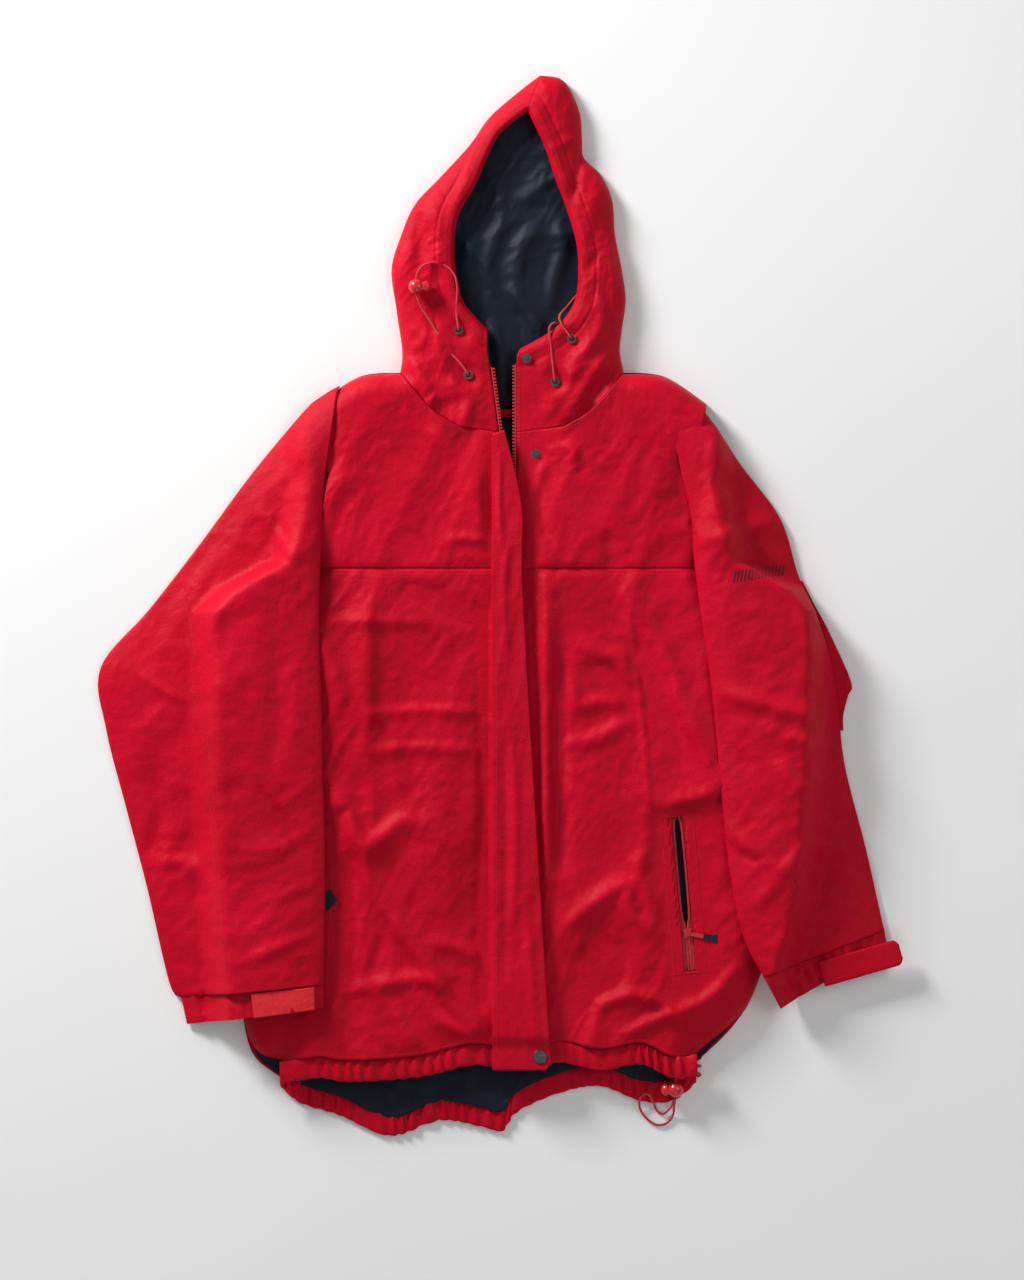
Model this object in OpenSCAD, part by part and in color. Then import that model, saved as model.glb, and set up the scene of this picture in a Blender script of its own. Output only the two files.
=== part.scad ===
// Foul weather jacket with a fixed hood, laid flat on its back.
// +X runs to the wearer's left, +Y to the hood, +Z up, away from the surface it lies on.
// The origin is on that surface, under the front zip, half way up the jacket.
// "right" and "left" are the wearer's.

/* [Size] */
// Chest, laid flat, from underarm to underarm
chest_width = 580; // [500:10:700]
// From the tip of the hood to the lowest point of the hem
overall_length = 1094; // [900:10:1320]

/* [Cloth] */
// Outer cloth with its wadding
shell_t = 2.2; // [1.4:0.1:3]
// Lining cloth
lining_t = 0.8; // [0.5:0.1:1.4]
// Space between the back and the front
body_gap = 9; // [7:0.5:14]
// Space inside a sleeve
sleeve_gap = 10; // [8:0.5:16]
// Space inside a cuff
cuff_gap = 8; // [7:0.5:12]
// Space inside a pocket bag
pocket_gap = 5; // [4.6:0.2:8]
// Depth of the hem band, along the jacket
hem_w = 22; // [16:1:30]

/* [Front zip] */
// Distance from one tooth to the next
tooth_pitch = 3.4; // [2.8:0.2:5]
// Length of a tooth across the zip
tooth_l = 2.6; // [2:0.1:3.4]
// Height of a tooth
tooth_h = 3.7; // [2.6:0.1:4]
// Width of one zip tape
tape_w = 14; // [10:1:18]
// Length of the slider
slider_l = 14; // [10:1:18]
// Length of the pull
pull_l = 24; // [20:1:28]

/* [Storm flap] */
// Width of the flap at its top
flap_top_w = 30; // [26:1:44]
// Width of the flap at the hem
flap_hem_w = 60; // [56:1:76]
// Thickness of the flap
flap_t = 2; // [1.2:0.1:3]

/* [Snaps and eyelets] */
// Radius of a snap's cap
cap_r = 7.5; // [6:0.5:8]
// Radius of a snap's socket and of the stud's base
socket_r = 4.8; // [4.2:0.1:6]
// Radius of the stud
stud_r = 2; // [1.6:0.1:2.4]
// Outer radius of an eyelet
eyelet_r = 4.8; // [4.2:0.1:6]
// Radius of the hole in an eyelet
eyelet_hole_r = 2.6; // [2.2:0.1:3]

/* [Cords and cord locks] */
// Radius of the hood and hem cords
cord_r = 1.2; // [0.8:0.1:1.3]
// Radius of a cord lock's ball
lock_r = 8; // [7.6:0.2:8.2]
// Radius of the plunger's shaft
plunger_r = 5; // [4.4:0.1:5.4]
// How far the plunger presses in
lock_travel = 3; // [2:0.5:3.5]

/* [Pockets] */
// Length of a pocket zip
pocket_zip_l = 157; // [130:1:190]
// Width of the stitched welt round a pocket zip
welt_w = 38; // [30:1:46]
// Depth of the pocket bag, from the zip to the front edge
bag_w = 110; // [80:5:130]
// Gap between the halves of an open pocket zip
mouth_gap = 6; // [4.4:0.2:7]

/* [Cuffs] */
// Length of a cuff tab
tab_l = 84; // [60:2:100]
// Width of a cuff tab
tab_w = 26; // [18:1:32]
// Thickness of a cuff tab
tab_t = 1.8; // [1.2:0.1:2.6]
// Length of a loop patch that a tab fastens to
patch_l = 64; // [50:2:70]
// Width of a loop patch
patch_w = 19; // [14:1:22]

/* [Hidden] */
$fn = 48;

red = [0.68, 0.04, 0.09];
bright_red = [0.80, 0.03, 0.06];
navy = [0.03, 0.04, 0.07];
gunmetal = [0.20, 0.20, 0.22];

// ---- Levels, from the surface up ----
air = 0.3;                                   // clearance between layers that can slide
back_t = shell_t;
back_lining_z = back_t + 0.1;
cavity_z = back_lining_z + lining_t;
front_lining_z = cavity_z + body_gap;
bag_z = front_lining_z + lining_t + 0.1;
bag_cavity_z = bag_z + lining_t;
bag_top_z = bag_cavity_z + pocket_gap;
tape_t = 0.8;
tape_z = bag_top_z + lining_t + 0.2;
shell_z = tape_z + tape_t + air;
front_z = shell_z + shell_t;                 // top of the front of the jacket
welt_t = 1.2;
flap_z = front_z + 8.5;                      // underside of the flap over the zip
flap_low_z = front_z + 3.8;                  // underside of the flap where it is snapped down
flap_axis_z = flap_z - 1;
sleeve_z = front_z + 7.5;                    // underside of a sleeve where it lies on the body
floor_z = 0.6;                               // underside of a sleeve beside the body

// ---- Grading: the pattern is drawn at one size and stretched to the chosen one ----
grade_x = chest_width / 580;
grade_y = overall_length / 1094;
function graded(pts) = [for (p = pts) [p[0] * grade_x, p[1] * grade_y]];
function mirrored(pts) = [for (p = pts) [-p[0], p[1]]];
function reversed(pts) = [for (i = [len(pts) - 1:-1:0]) pts[i]];
function shifted(pts, d) = [for (p = pts) p + d];
function bend(a, b, c, d, t) =
  0.5 * (2 * b + (c - a) * t + (2 * a - 5 * b + 4 * c - d) * t * t + (3 * b - a - 3 * c + d) * t * t * t);
function curve(pts, n = 4) = [
  for (i = [0:len(pts) - 2], k = [0:n - 1])
    bend(pts[max(i - 1, 0)], pts[i], pts[i + 1], pts[min(i + 2, len(pts) - 1)], k / n),
  pts[len(pts) - 1]
];
function rest(pts) = [for (i = [1:len(pts) - 1]) pts[i]];
function joined(a, b) = concat(a, rest(b));
// A line moved by t at right angles to itself, to the side where c is
function inset(pts, c, t) = [for (i = [0:len(pts) - 1])
  let (d = pts[min(i + 1, len(pts) - 1)] - pts[max(i - 1, 0)], n = [-d[1], d[0]] / norm(d))
  pts[i] + n * (n * (c - pts[i]) > 0 ? t : -t)];

// ---- Pattern lines ----
slot = 4.6;                                  // half the gap between the fronts, over the zip
open_y = 110 * grade_y;                      // the right front turns away from the zip above this
open_angle = 7.4;
seam_y = 38 * grade_y;                       // chest seam
zip_top_y = 250 * grade_y;
zip_end_y = -428 * grade_y;
function right_edge(y) = [-slot - max(0, y - open_y) * tan(open_angle), y];

neck_y = 178 * grade_y;
neck = graded([[54, 184], [84, 203], [115, 240]]);
right_neck = concat([right_edge(neck_y)], mirrored(neck));
left_neck = concat([[slot, neck_y]], neck);
shoulder = graded([[115, 240], [157, 236], [200, 208]]);
armhole_top = graded([[200, 208], [190, 130], [207, 38]]);
armhole_foot = graded([[207, 38], [235, -2], [290, -20]]);
right_side = mirrored(graded([[290, -20], [290, -200], [275, -430], [238, -468]]));
left_side = graded([[290, -20], [286, -160], [276, -303], [252, -390], [230, -426], [190, -460]]);
right_hem = concat(
  graded([[-238, -490], [-198, -484], [-167, -488], [-95, -483], [-43, -471], [-14, -474]]),
  [[-slot, -474 * grade_y]]);
left_hem = concat([[slot, -474 * grade_y]],
  graded([[29, -476], [49, -468], [91, -476], [132, -470], [164, -484], [190, -482]]));
back_hem = graded([[-238, -494], [-218, -511], [-177, -524], [-126, -545], [-74, -529], [-30, -536],
  [-10, -540], [6, -520], [49, -501], [91, -494], [132, -509], [165, -509], [190, -490]]);
back_neck = graded([[-115, 240], [-60, 216], [0, 207], [60, 216], [115, 240]]);
hood_right_edge = graded([[-115, 240], [-113, 262], [-119, 305], [-124, 346], [-115, 379],
  [-100, 413], [-74, 441], [-43, 475], [-23, 503], [8, 530], [29, 546]]);
hood_left_edge = graded([[29, 546], [49, 543], [60, 531], [70, 506], [72, 480], [74, 461], [91, 444],
  [103, 418], [106, 382], [113, 346], [117, 315], [113, 284], [111, 262], [115, 240]]);
face_right = graded([[16, 508], [-12, 485], [-26, 459], [-38, 431], [-54, 403], [-59, 377],
  [-58, 346], [-51, 315], [-38, 297], [-25, 284]]);
face_left = graded([[16, 508], [34, 470], [44, 439], [55, 410], [65, 377], [68, 348], [65, 315],
  [52, 293], [34, 278], [8, 264]]);
hood_rim = joined(curve(hood_right_edge), curve(hood_left_edge));
// The neck line of the back, drawn in from the linings' edges
lining_neck = [for (p = curve(back_neck)) [p[0] * 0.95, p[1]]];
hood_middle = [0, 370 * grade_y];
body_middle = [0, -100 * grade_y];

body_rim = joined(joined(curve(shoulder), curve(armhole_top)), curve(armhole_foot));
left_rim = joined(body_rim, curve(left_side));
right_rim = joined(mirrored(body_rim), curve(right_side));
up_hem = [0, hem_w];

module plate(outline, z, t) translate([0, 0, z]) linear_extrude(t) polygon(outline);
// A wall that closes the cloth down to the back along an outer seam
module seam_wall(line, middle) plate(concat(line, reversed(inset(line, middle, shell_t))),
  back_t, shell_z - back_t);

// ---- Body ----
flap_x = -20;
flap_top_y = 176 * grade_y;
flap_end_y = -476 * grade_y;
ridge_w = 2.5;
// The upright fold under the flap's hinge line
module flap_ridge(low_y, high_y) translate([flap_x + air, low_y, front_z - 0.5])
  cube([ridge_w, high_y - low_y, flap_z - air - front_z + 0.5]);

module back_panel() color(red)
  plate(concat(curve(back_neck), left_rim, reversed(curve(shifted(back_hem, up_hem))),
    reversed(right_rim)), 0, back_t);

module back_lining() color(navy) {
  rim_in = shell_t + 1;
  plate(concat(shifted(lining_neck, [0, -0.5]), inset(left_rim, body_middle, rim_in),
    reversed(curve(shifted(back_hem, up_hem + [0, air]))),
    reversed(inset(right_rim, body_middle, rim_in))), back_lining_z, lining_t);
}

module front_panel(edge, foot, side, hem, pocket) color(red) difference() {
  outer = joined(curve(foot), curve(side));
  union() {
    plate(concat([edge], outer, curve(shifted(hem, up_hem))), shell_z, shell_t);
    seam_wall(outer, body_middle);
    children();
  }
  pocket_slot(pocket);
}
module right_front_panel() front_panel(right_edge(seam_y), mirrored(armhole_foot), right_side, right_hem,
  right_pocket) flap_ridge(dip_y + 14, seam_y);
module left_front_panel() front_panel([slot, seam_y], armhole_foot, left_side, reversed(left_hem),
  left_pocket);

module yoke(edge, neck_line, s) color(red) {
  arm = s > 0 ? armhole_top : mirrored(armhole_top);
  top = s > 0 ? shoulder : mirrored(shoulder);
  outer = joined(curve(top), curve(arm));
  plate(concat(edge, curve(neck_line), outer), shell_z, shell_t);
  seam_wall(outer, body_middle);
}
module right_yoke() {
  yoke([right_edge(seam_y + air), right_edge(open_y)], right_neck, -1);
  color(red) flap_ridge(seam_y + air, flap_top_y - 2);
}
module left_yoke() yoke([[slot, seam_y + air]], left_neck, 1);

lining_edge = 14;                            // half the gap between the front linings
module front_lining(edge, neck_line, rim, hem) color(navy)
  plate(concat(edge, shifted(curve(neck_line), [0, -1]), inset(rim, body_middle, shell_t + 1), hem),
    front_lining_z, lining_t);
// The hem line, cut off at the lining's front edge
function lining_hem(hem, s) = [for (p = curve(shifted(hem, up_hem))) if (s * p[0] > lining_edge + 1) p];
module right_front_lining() front_lining([[-lining_edge, -452 * grade_y], [-lining_edge, open_y]],
  [for (p = right_neck) [min(p[0], right_edge(neck_y)[0] - lining_edge), p[1]]], right_rim,
  lining_hem(right_hem, -1));
module left_front_lining() front_lining([[lining_edge, -452 * grade_y]],
  [for (p = left_neck) [max(p[0], lining_edge), p[1]]], left_rim, lining_hem(reversed(left_hem), 1));

// ---- Hem: bands folded over a channel for the elastic cord ----
band_wall = 0.8;
band_t = 2 * band_wall + 2 * cord_r + 0.4;
module band(line, z) difference() {
  plate(concat(curve(line), reversed(curve(shifted(line, up_hem)))), z, band_t);
  plate(concat(shifted(curve(line), [0, band_wall + 0.6]),
    reversed(shifted(curve(line), [0, hem_w - band_wall - 0.6]))), z + band_wall, band_t - 2 * band_wall);
}
module back_hem_band() color(red) band(back_hem, 0);
module right_hem_band() color(red) band(right_hem, front_z - band_t);
module left_hem_band() color(red) band(left_hem, front_z - band_t);
elastic_z = band_t / 2;
module hem_elastic() color(bright_red) {
  line = shifted(curve(back_hem, 2), [0, hem_w / 2]);
  cord([for (p = line) [p[0], p[1], elastic_z]]);
}

// ---- Front zip ----
tooth_z = tape_z + tape_t / 2 - tooth_h / 2 + 0.2;
chain_gap = 0.4;                             // from the zip's middle to a tooth's end
bead_w = 1.2;
tooth_share = 0.55;                          // part of the pitch that a tooth fills
bead_x = chain_gap + tooth_l;
// A row of teeth along +Y on its bead, on the +X side of the middle
module tooth_row(length, pitch = tooth_pitch) {
  count = floor(length / pitch);
  step = length / count;
  plate(concat(
    [for (i = [0:count - 1], k = [0:3])
      [k == 0 || k == 3 ? bead_x : chain_gap, step * (i + (k < 2 ? 0.2 : 0.2 + tooth_share))]],
    [[bead_x, length], [bead_x + bead_w, length], [bead_x + bead_w, 0], [bead_x, 0]]),
    tooth_z, tooth_h);
}
module tape(length) translate([bead_x + bead_w, 0, tape_z]) cube([tape_w - bead_w, length, tape_t]);
box_l = 12;
box_w = 2 * (slot - air);                    // the box sits in the gap between the fronts
chain_y = zip_end_y + box_l + air;
closed_l = open_y - chain_y;
open_l = zip_top_y - open_y;
module right_run(closed) mirror([1, 0, 0])
  if (closed) translate([0, chain_y, 0]) children();
  else translate([0, open_y, 0]) rotate([0, 0, -open_angle]) children();
module right_zip_tape() color(red) {
  right_run(true) tape(closed_l);
  right_run(false) translate([0, air, 0]) tape(open_l);
}
module right_zip_teeth() color(bright_red) {
  right_run(true) tooth_row(closed_l - air);
  right_run(false) translate([0, air, 0]) tooth_row(open_l - 4);
}
module left_zip_tape() color(red) translate([0, chain_y, 0]) tape(closed_l + open_l);
module left_zip_teeth() color(bright_red) translate([0, chain_y + tooth_pitch / 2, 0])
  tooth_row(closed_l + open_l - 4);
module zip_retainer_box() color(bright_red) difference() {
  translate([-box_w / 2, zip_end_y, tooth_z - 0.8]) cube([box_w, box_l, tooth_h + 1.6]);
  translate([-1.6, zip_end_y + 3, tooth_z]) cube([3.2, box_l, tooth_h]);
}

slider_w = 11;
slider_y = 88 * grade_y;
slider_plate = 1.4;
slider_top = front_z + air + slider_plate;
bridge_h = 2.6;
bridge_w = 2.4;
pull_t = 1.2;
pull_z = slider_top + 0.4;
hinge_back = 2;                              // from the slider's middle to the pull's cross bar
web_w = 0.4;
// A zip slider: two plates on a thin web, and a bridge for the pull
module slider(length, low, top) {
  r = 2.5;
  for (z = [low, top - slider_plate])
    translate([0, 0, z]) linear_extrude(slider_plate)
      hull() for (y = [-1, 1])
        translate([0, y * (length / 2 - r)]) square([slider_w - (y < 0 ? 3 : 0), 2 * r], true);
  translate([-web_w / 2, -1, low]) cube([web_w, length / 2 - 1, top - low]);
  difference() {
    translate([-bridge_w / 2, -length / 2 + 1, top]) cube([bridge_w, length - 2, bridge_h + 1]);
    translate([-bridge_w, -length / 2 + 2.6, top - 0.01]) cube([2 * bridge_w, length - 5.2, bridge_h]);
  }
}
slider_low = tooth_z - air - slider_plate;
module zip_slider() color(gunmetal) translate([0, slider_y, 0]) slider(slider_l, slider_low, slider_top);

ring_in = 1.9;
ring_out = 3.6;
// A pull that lies along -Y from its cross bar, which is the hinge
module pull(length, t) {
  window = slider_l / 2 + hinge_back + 0.6;
  difference() {
    union() {
      translate([-ring_out, -window - 1, 0]) cube([2 * ring_out, window + 1 + t / 2, t]);
      translate([0, -window, 0]) linear_extrude(t)
        hull() {
          translate([-ring_out, -2]) square([2 * ring_out, 2]);
          translate([0, window + 3 - length]) circle(3);
        }
    }
    translate([-ring_in, -window, -1]) cube([2 * ring_in, window - t / 2, t + 2]);
    translate([0, 4 - length, -1]) cylinder(r = 1.2, h = t + 2);
  }
}
module zip_pull() color(gunmetal) translate([0, slider_y + hinge_back, pull_z]) pull(pull_l, pull_t);

// ---- Storm flap ----
hem_snap = [29, -462 * grade_y];
chest_snap = [24, 156 * grade_y];
collar_snap = [15, 254 * grade_y];
rivet_r = 1.6;
dip_y = hem_snap[1] + cap_r + 1;             // the flap is low below this
module storm_flap() color(red) difference() {
  intersection() {
    plate([[flap_x, flap_top_y], [flap_x + flap_top_w * 0.4, flap_top_y + 4],
      [flap_x + flap_top_w, 100 * grade_y],
      [flap_x + flap_top_w + 2, -10 * grade_y], [flap_x + flap_hem_w, flap_end_y + 8],
      [flap_x + flap_hem_w - 6, flap_end_y], [flap_x, flap_end_y]], 0, 2 * flap_z);
    rotate([90, 0, 90]) translate([0, 0, -200]) linear_extrude(400) polygon([
      [flap_top_y + 10, flap_z], [dip_y + 14, flap_z], [dip_y, flap_low_z], [flap_end_y - 10, flap_low_z],
      [flap_end_y - 10, flap_low_z + flap_t], [dip_y - 1, flap_low_z + flap_t],
      [dip_y + 13, flap_z + flap_t], [flap_top_y + 10, flap_z + flap_t]]);
  }
  translate([hem_snap[0], hem_snap[1], flap_low_z - 1]) cylinder(r = rivet_r, h = flap_t + 2);
}
cap_h = 1.4;
module flap_snap_caps() color(gunmetal) translate([hem_snap[0], hem_snap[1], flap_low_z + flap_t]) {
  cylinder(r1 = cap_r, r2 = cap_r - 1, h = cap_h);
  translate([0, 0, -flap_t]) cylinder(r = rivet_r, h = flap_t);
}
socket_h = 2.4;
module flap_snap_sockets() color(gunmetal)
  translate([hem_snap[0], hem_snap[1], flap_low_z - socket_h]) difference() {
  cylinder(r = socket_r, h = socket_h);
  translate([0, 0, -1]) cylinder(r = stud_r + 0.8, h = socket_h + 2);
}
stud_base_h = 1.1;
module stud() {
  cylinder(r = socket_r, h = stud_base_h);
  cylinder(r = stud_r, h = stud_base_h + 2.4);
}
module front_snap_studs() color(gunmetal)
  for (p = [hem_snap, chest_snap, collar_snap]) translate([p[0], p[1], front_z]) stud();

// ---- Pockets: [x, y of the zip's middle, lean of the zip, height of the slider above the middle] ----
right_pocket = [-203 * grade_x, -300 * grade_y, -3, -34];
left_pocket = [176 * grade_x, -296 * grade_y, 5, -40];
shell_slot = 6;
module at_pocket(p) translate([p[0], p[1], 0]) rotate([0, 0, p[2]]) children();
module pocket_slot(p) at_pocket(p)
  translate([-shell_slot, -pocket_zip_l / 2 - 2, shell_z - 1])
    cube([2 * shell_slot, pocket_zip_l + 4, shell_t + 2]);
module welt(p) color(red) at_pocket(p) translate([0, 0, front_z]) linear_extrude(welt_t) difference() {
  square([welt_w, pocket_zip_l + 10], true);
  square([2 * shell_slot, pocket_zip_l + 2], true);
}
module right_pocket_welt() welt(right_pocket);
module left_pocket_welt() welt(left_pocket);

bag_l = pocket_zip_l + 16;
bag_rim = 6;
// The bag reaches from behind the zip towards the front edge, on the side s
module bag(p, s) color(navy) at_pocket(p) difference() {
  translate([s > 0 ? -shell_slot - bag_rim : shell_slot + bag_rim - bag_w, -bag_l / 2, bag_z])
    cube([bag_w, bag_l, bag_top_z + lining_t - bag_z]);
  translate([s > 0 ? -shell_slot : shell_slot - bag_w + 2 * bag_rim, -bag_l / 2 + bag_rim, bag_cavity_z])
    cube([bag_w - 2 * bag_rim, bag_l - 2 * bag_rim, pocket_gap]);
  translate([-shell_slot, -pocket_zip_l / 2, bag_cavity_z])
    cube([2 * shell_slot, pocket_zip_l, 3 * pocket_gap]);
}
module right_pocket_bag() bag(right_pocket, 1);
module left_pocket_bag() bag(left_pocket, -1);

pocket_tooth_h = 2.4;
pocket_tooth_z = tape_z - (pocket_tooth_h - tape_t) / 2;
pocket_slider_l = 10;
pocket_slider_w = 8;
// Half of a pocket zip: closed below the slider, and bowed open above it
module zip_half(closed) {
  top = pocket_zip_l / 2;
  mouth = [[chain_gap, -top], [chain_gap, closed + 6], [mouth_gap / 2, closed + 24],
    [mouth_gap / 2, top - 12], [chain_gap, top]];
  plate(concat(curve(mouth, 3), [[shell_slot - 0.1, top], [shell_slot - 0.1, -top]]), tape_z, tape_t);
  plate(concat(curve(mouth, 3), reversed(shifted(curve(mouth, 3), [2, 0]))), pocket_tooth_z, pocket_tooth_h);
}
module pocket_zip(p) color(bright_red) at_pocket(p) for (m = [0, 1]) mirror([m, 0, 0]) zip_half(p[3]);
module right_pocket_zip() pocket_zip(right_pocket);
module left_pocket_zip() pocket_zip(left_pocket);

pocket_slider_low = pocket_tooth_z - air - 1;
pocket_slider_top = pocket_tooth_z + pocket_tooth_h + air + 1;
post_r = 1.2;
post_head_r = 2.2;
pocket_pull_t = 1.4;
pocket_pull_z = front_z + welt_t + air;
post_top = pocket_pull_z + pocket_pull_t + air;
module pocket_slider(p) color(bright_red) at_pocket(p) translate([0, p[3], 0]) {
  for (z = [pocket_slider_low, pocket_slider_top - 1])
    translate([-pocket_slider_w / 2, -pocket_slider_l / 2, z]) cube([pocket_slider_w, pocket_slider_l, 1]);
  translate([-web_w / 2, -2, pocket_slider_low]) cube([web_w, 4, pocket_slider_top - pocket_slider_low]);
  translate([0, 0, pocket_slider_top]) cylinder(r = post_head_r, h = pocket_pull_z - air - pocket_slider_top);
  translate([0, 0, pocket_slider_top]) cylinder(r = post_r, h = post_top - pocket_slider_top);
  translate([0, 0, post_top]) cylinder(r = post_head_r, h = 0.8);
}
module right_pocket_slider() pocket_slider(right_pocket);
module left_pocket_slider() pocket_slider(left_pocket);

pocket_pull_l = 17;
crimp_l = 5;
woven_l = 25;
woven_w = 15;
eye_r = 3.2;
// A pull that lies along +X from its eye, which turns on the slider's post, with a woven tab in its end
module pocket_pull(p, angle) at_pocket(p) translate([0, p[3], pocket_pull_z]) rotate([0, 0, angle]) {
  color(bright_red) difference() {
    union() {
      cylinder(r = eye_r, h = pocket_pull_t);
      translate([0, -2, 0]) cube([pocket_pull_l, 4, pocket_pull_t]);
    }
    translate([0, 0, -1]) cylinder(r = post_r + air, h = pocket_pull_t + 2);
  }
  color(navy) {
    translate([pocket_pull_l, -3, 0]) cube([crimp_l, 6, pocket_pull_t + 0.4]);
    translate([pocket_pull_l + crimp_l, 0, 0.1]) linear_extrude(1.2)
      polygon([[0, -2.5], [0, 2.5], [woven_l - 3, woven_w / 2], [woven_l, woven_w / 2 - 3],
        [woven_l - 6, -woven_w / 2]]);
  }
}
module right_pocket_pull() pocket_pull(right_pocket, 64);
module left_pocket_pull() pocket_pull(left_pocket, -15);

// ---- Hood ----
module hood_back_panel() color(red)
  plate(joined(curve(back_neck), reversed(hood_rim)), 0, back_t);
module hood_lining() color(navy)
  plate(concat(inset(hood_rim, hood_middle, shell_t + 1), reversed(shifted(lining_neck, [0, 0.3]))),
    back_lining_z, lining_t);

eyelets = graded([[-55, 283], [-45, 237], [61, 274], [44, 230]]);
module eyelet_holes() for (p = eyelets)
  translate([p[0], p[1], 0]) cylinder(r = eyelet_barrel_r, h = 2 * front_z);
module hood_right_panel() color(red) difference() {
  union() {
    plate(joined(curve(mirrored(neck)), joined(curve(hood_right_edge),
      concat(curve(face_right), [right_edge(260 * grade_y), right_edge(neck_y)]))), shell_z, shell_t);
    seam_wall(curve(hood_right_edge), hood_middle);
  }
  eyelet_holes();
}
module hood_left_panel() color(red) difference() {
  union() {
    plate(joined(curve(hood_left_edge), concat(reversed(curve(neck)), [[slot, neck_y],
      [slot, 256 * grade_y]], reversed(curve(face_left)))), shell_z, shell_t);
    seam_wall(rest(curve(hood_left_edge)), hood_middle);
  }
  eyelet_holes();
}
eyelet_barrel_r = eyelet_hole_r + 0.5;
eyelet_h = 1.1;
module hood_eyelets() color(gunmetal) for (p = eyelets) translate([p[0], p[1], 0]) difference() {
  union() {
    translate([0, 0, front_z]) cylinder(r = eyelet_r, h = eyelet_h);
    translate([0, 0, shell_z - 0.6]) cylinder(r = eyelet_barrel_r, h = shell_t + 1);
  }
  translate([0, 0, shell_z - 2]) cylinder(r = eyelet_hole_r, h = shell_t + 6);
}

// ---- Free cords: a tube with a ring of points round each point of its route ----
function unit(v) = v / max(norm(v), 0.001);
function heading(path, i) = unit(path[min(i + 1, len(path) - 1)] - path[max(i - 1, 0)]);
function ring(path, i, r, n) =
  let (t = heading(path, i), a = unit(cross(t, abs(t[2]) > 0.9 ? [1, 0, 0] : [0, 0, 1])), b = cross(t, a))
  [for (k = [0:n - 1]) path[i] + r * (cos(360 * k / n) * a + sin(360 * k / n) * b)];
module cord(path, r = cord_r, n = 8) {
  rings = len(path);
  points = [for (i = [0:rings - 1]) each ring(path, i, r, n)];
  sides = [for (i = [0:rings - 2], k = [0:n - 1]) each [
    [i * n + k, i * n + (k + 1) % n, (i + 1) * n + k],
    [i * n + (k + 1) % n, (i + 1) * n + (k + 1) % n, (i + 1) * n + k]]];
  low_end = [for (k = [n - 1:-1:0]) k];
  high_end = [for (k = [0:n - 1]) (rings - 1) * n + k];
  polyhedron(points, concat([low_end], sides, [high_end]));
}
drawn_z = 23.1;                              // height of the front that the routes are drawn for
function route(pts) = curve([for (p = pts) [p[0] * grade_x, p[1] * grade_y, p[2] * front_z / drawn_z]], 3);
hood_lock = [-98 * grade_x, 327 * grade_y, front_z + lock_r + 0.1];
right_hood_route = [[-55, 283, 18.5], [-55, 283, 22.8], [-55, 284, 25.4], [-55.5, 289, 25.8],
  [-56.5, 295, 25], [-57, 305, 24.6], [-56, 325, 24.6], [-59, 339, 24.6], [-67, 348, 24.6],
  [-78, 352, 25.2], [-90, 349, 28.4],
  [-97, 340, 31], [-98, 327, 31.2], [-96.5, 315, 30.6], [-91, 303, 27], [-80, 286, 24.7], [-67, 264, 24.6],
  [-55, 251, 24.8], [-48, 242, 25.8], [-45.5, 238, 25.4], [-45, 237, 22.8], [-45, 237, 18.5]];
module right_hood_cord() color(bright_red) cord(route(right_hood_route));
inner_lock = [84 * grade_x, 322 * grade_y, (cavity_z + shell_z) / 2];
left_hood_route = [[61, 274, 18.5], [61, 274, 22.8], [60, 275.5, 25.4], [57, 279.5, 25.8],
  [53.5, 284.5, 25.2], [50.5, 290, 24.8], [48.5, 294.5, 21.5], [50, 300, 15], [57, 308, 10],
  [70, 321.6, 12.6], [84, 322, 13.4],
  [98, 321.4, 11.8], [100, 306, 7.5], [90, 296, 6], [70, 291, 6], [54, 289, 8], [44, 290.5, 16],
  [39.5, 287.5, 21.5], [38, 282, 25], [39, 274, 24.8], [41, 256, 24.6], [42.5, 241, 25.2],
  [43.5, 233, 25.8], [44, 230.5, 25.2],
  [44, 230, 22.8], [44, 230, 18.5]];
module left_hood_cord() color(bright_red) cord(route(left_hood_route));
hem_lock = [168 * grade_x, -497 * grade_y, 12.9 * front_z / drawn_z];
hem_route = [[191.3, -474, 2.3], [194, -473.5, 4.5], [191, -472, 8.5], [181, -472, 12.5], [172, -477, 14.2],
  [168, -486, 14.3], [168, -497, 14.3], [167.5, -506, 13.2], [166.5, -515, 8.4], [166, -523, 3],
  [160, -532, 1.5], [149, -534, 1.5], [138, -527, 1.5], [132, -518, 3], [131, -509.5, 6.4], [135, -503, 6.6],
  [141, -503, 6.6], [145, -510, 6], [149, -519, 2.2], [155, -523, 1.6], [160.5, -519, 4.4],
  [165, -512, 9.4], [167.7, -505.5, 11.4], [168, -497, 11.5], [168.2, -488, 11.4], [174, -480, 9.4],
  [184, -478.5, 6.6], [191, -480, 6.4], [194, -482.5, 4.2], [191.3, -484, 2.3]];
module hem_cord() color(bright_red) cord(route(hem_route));

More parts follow.
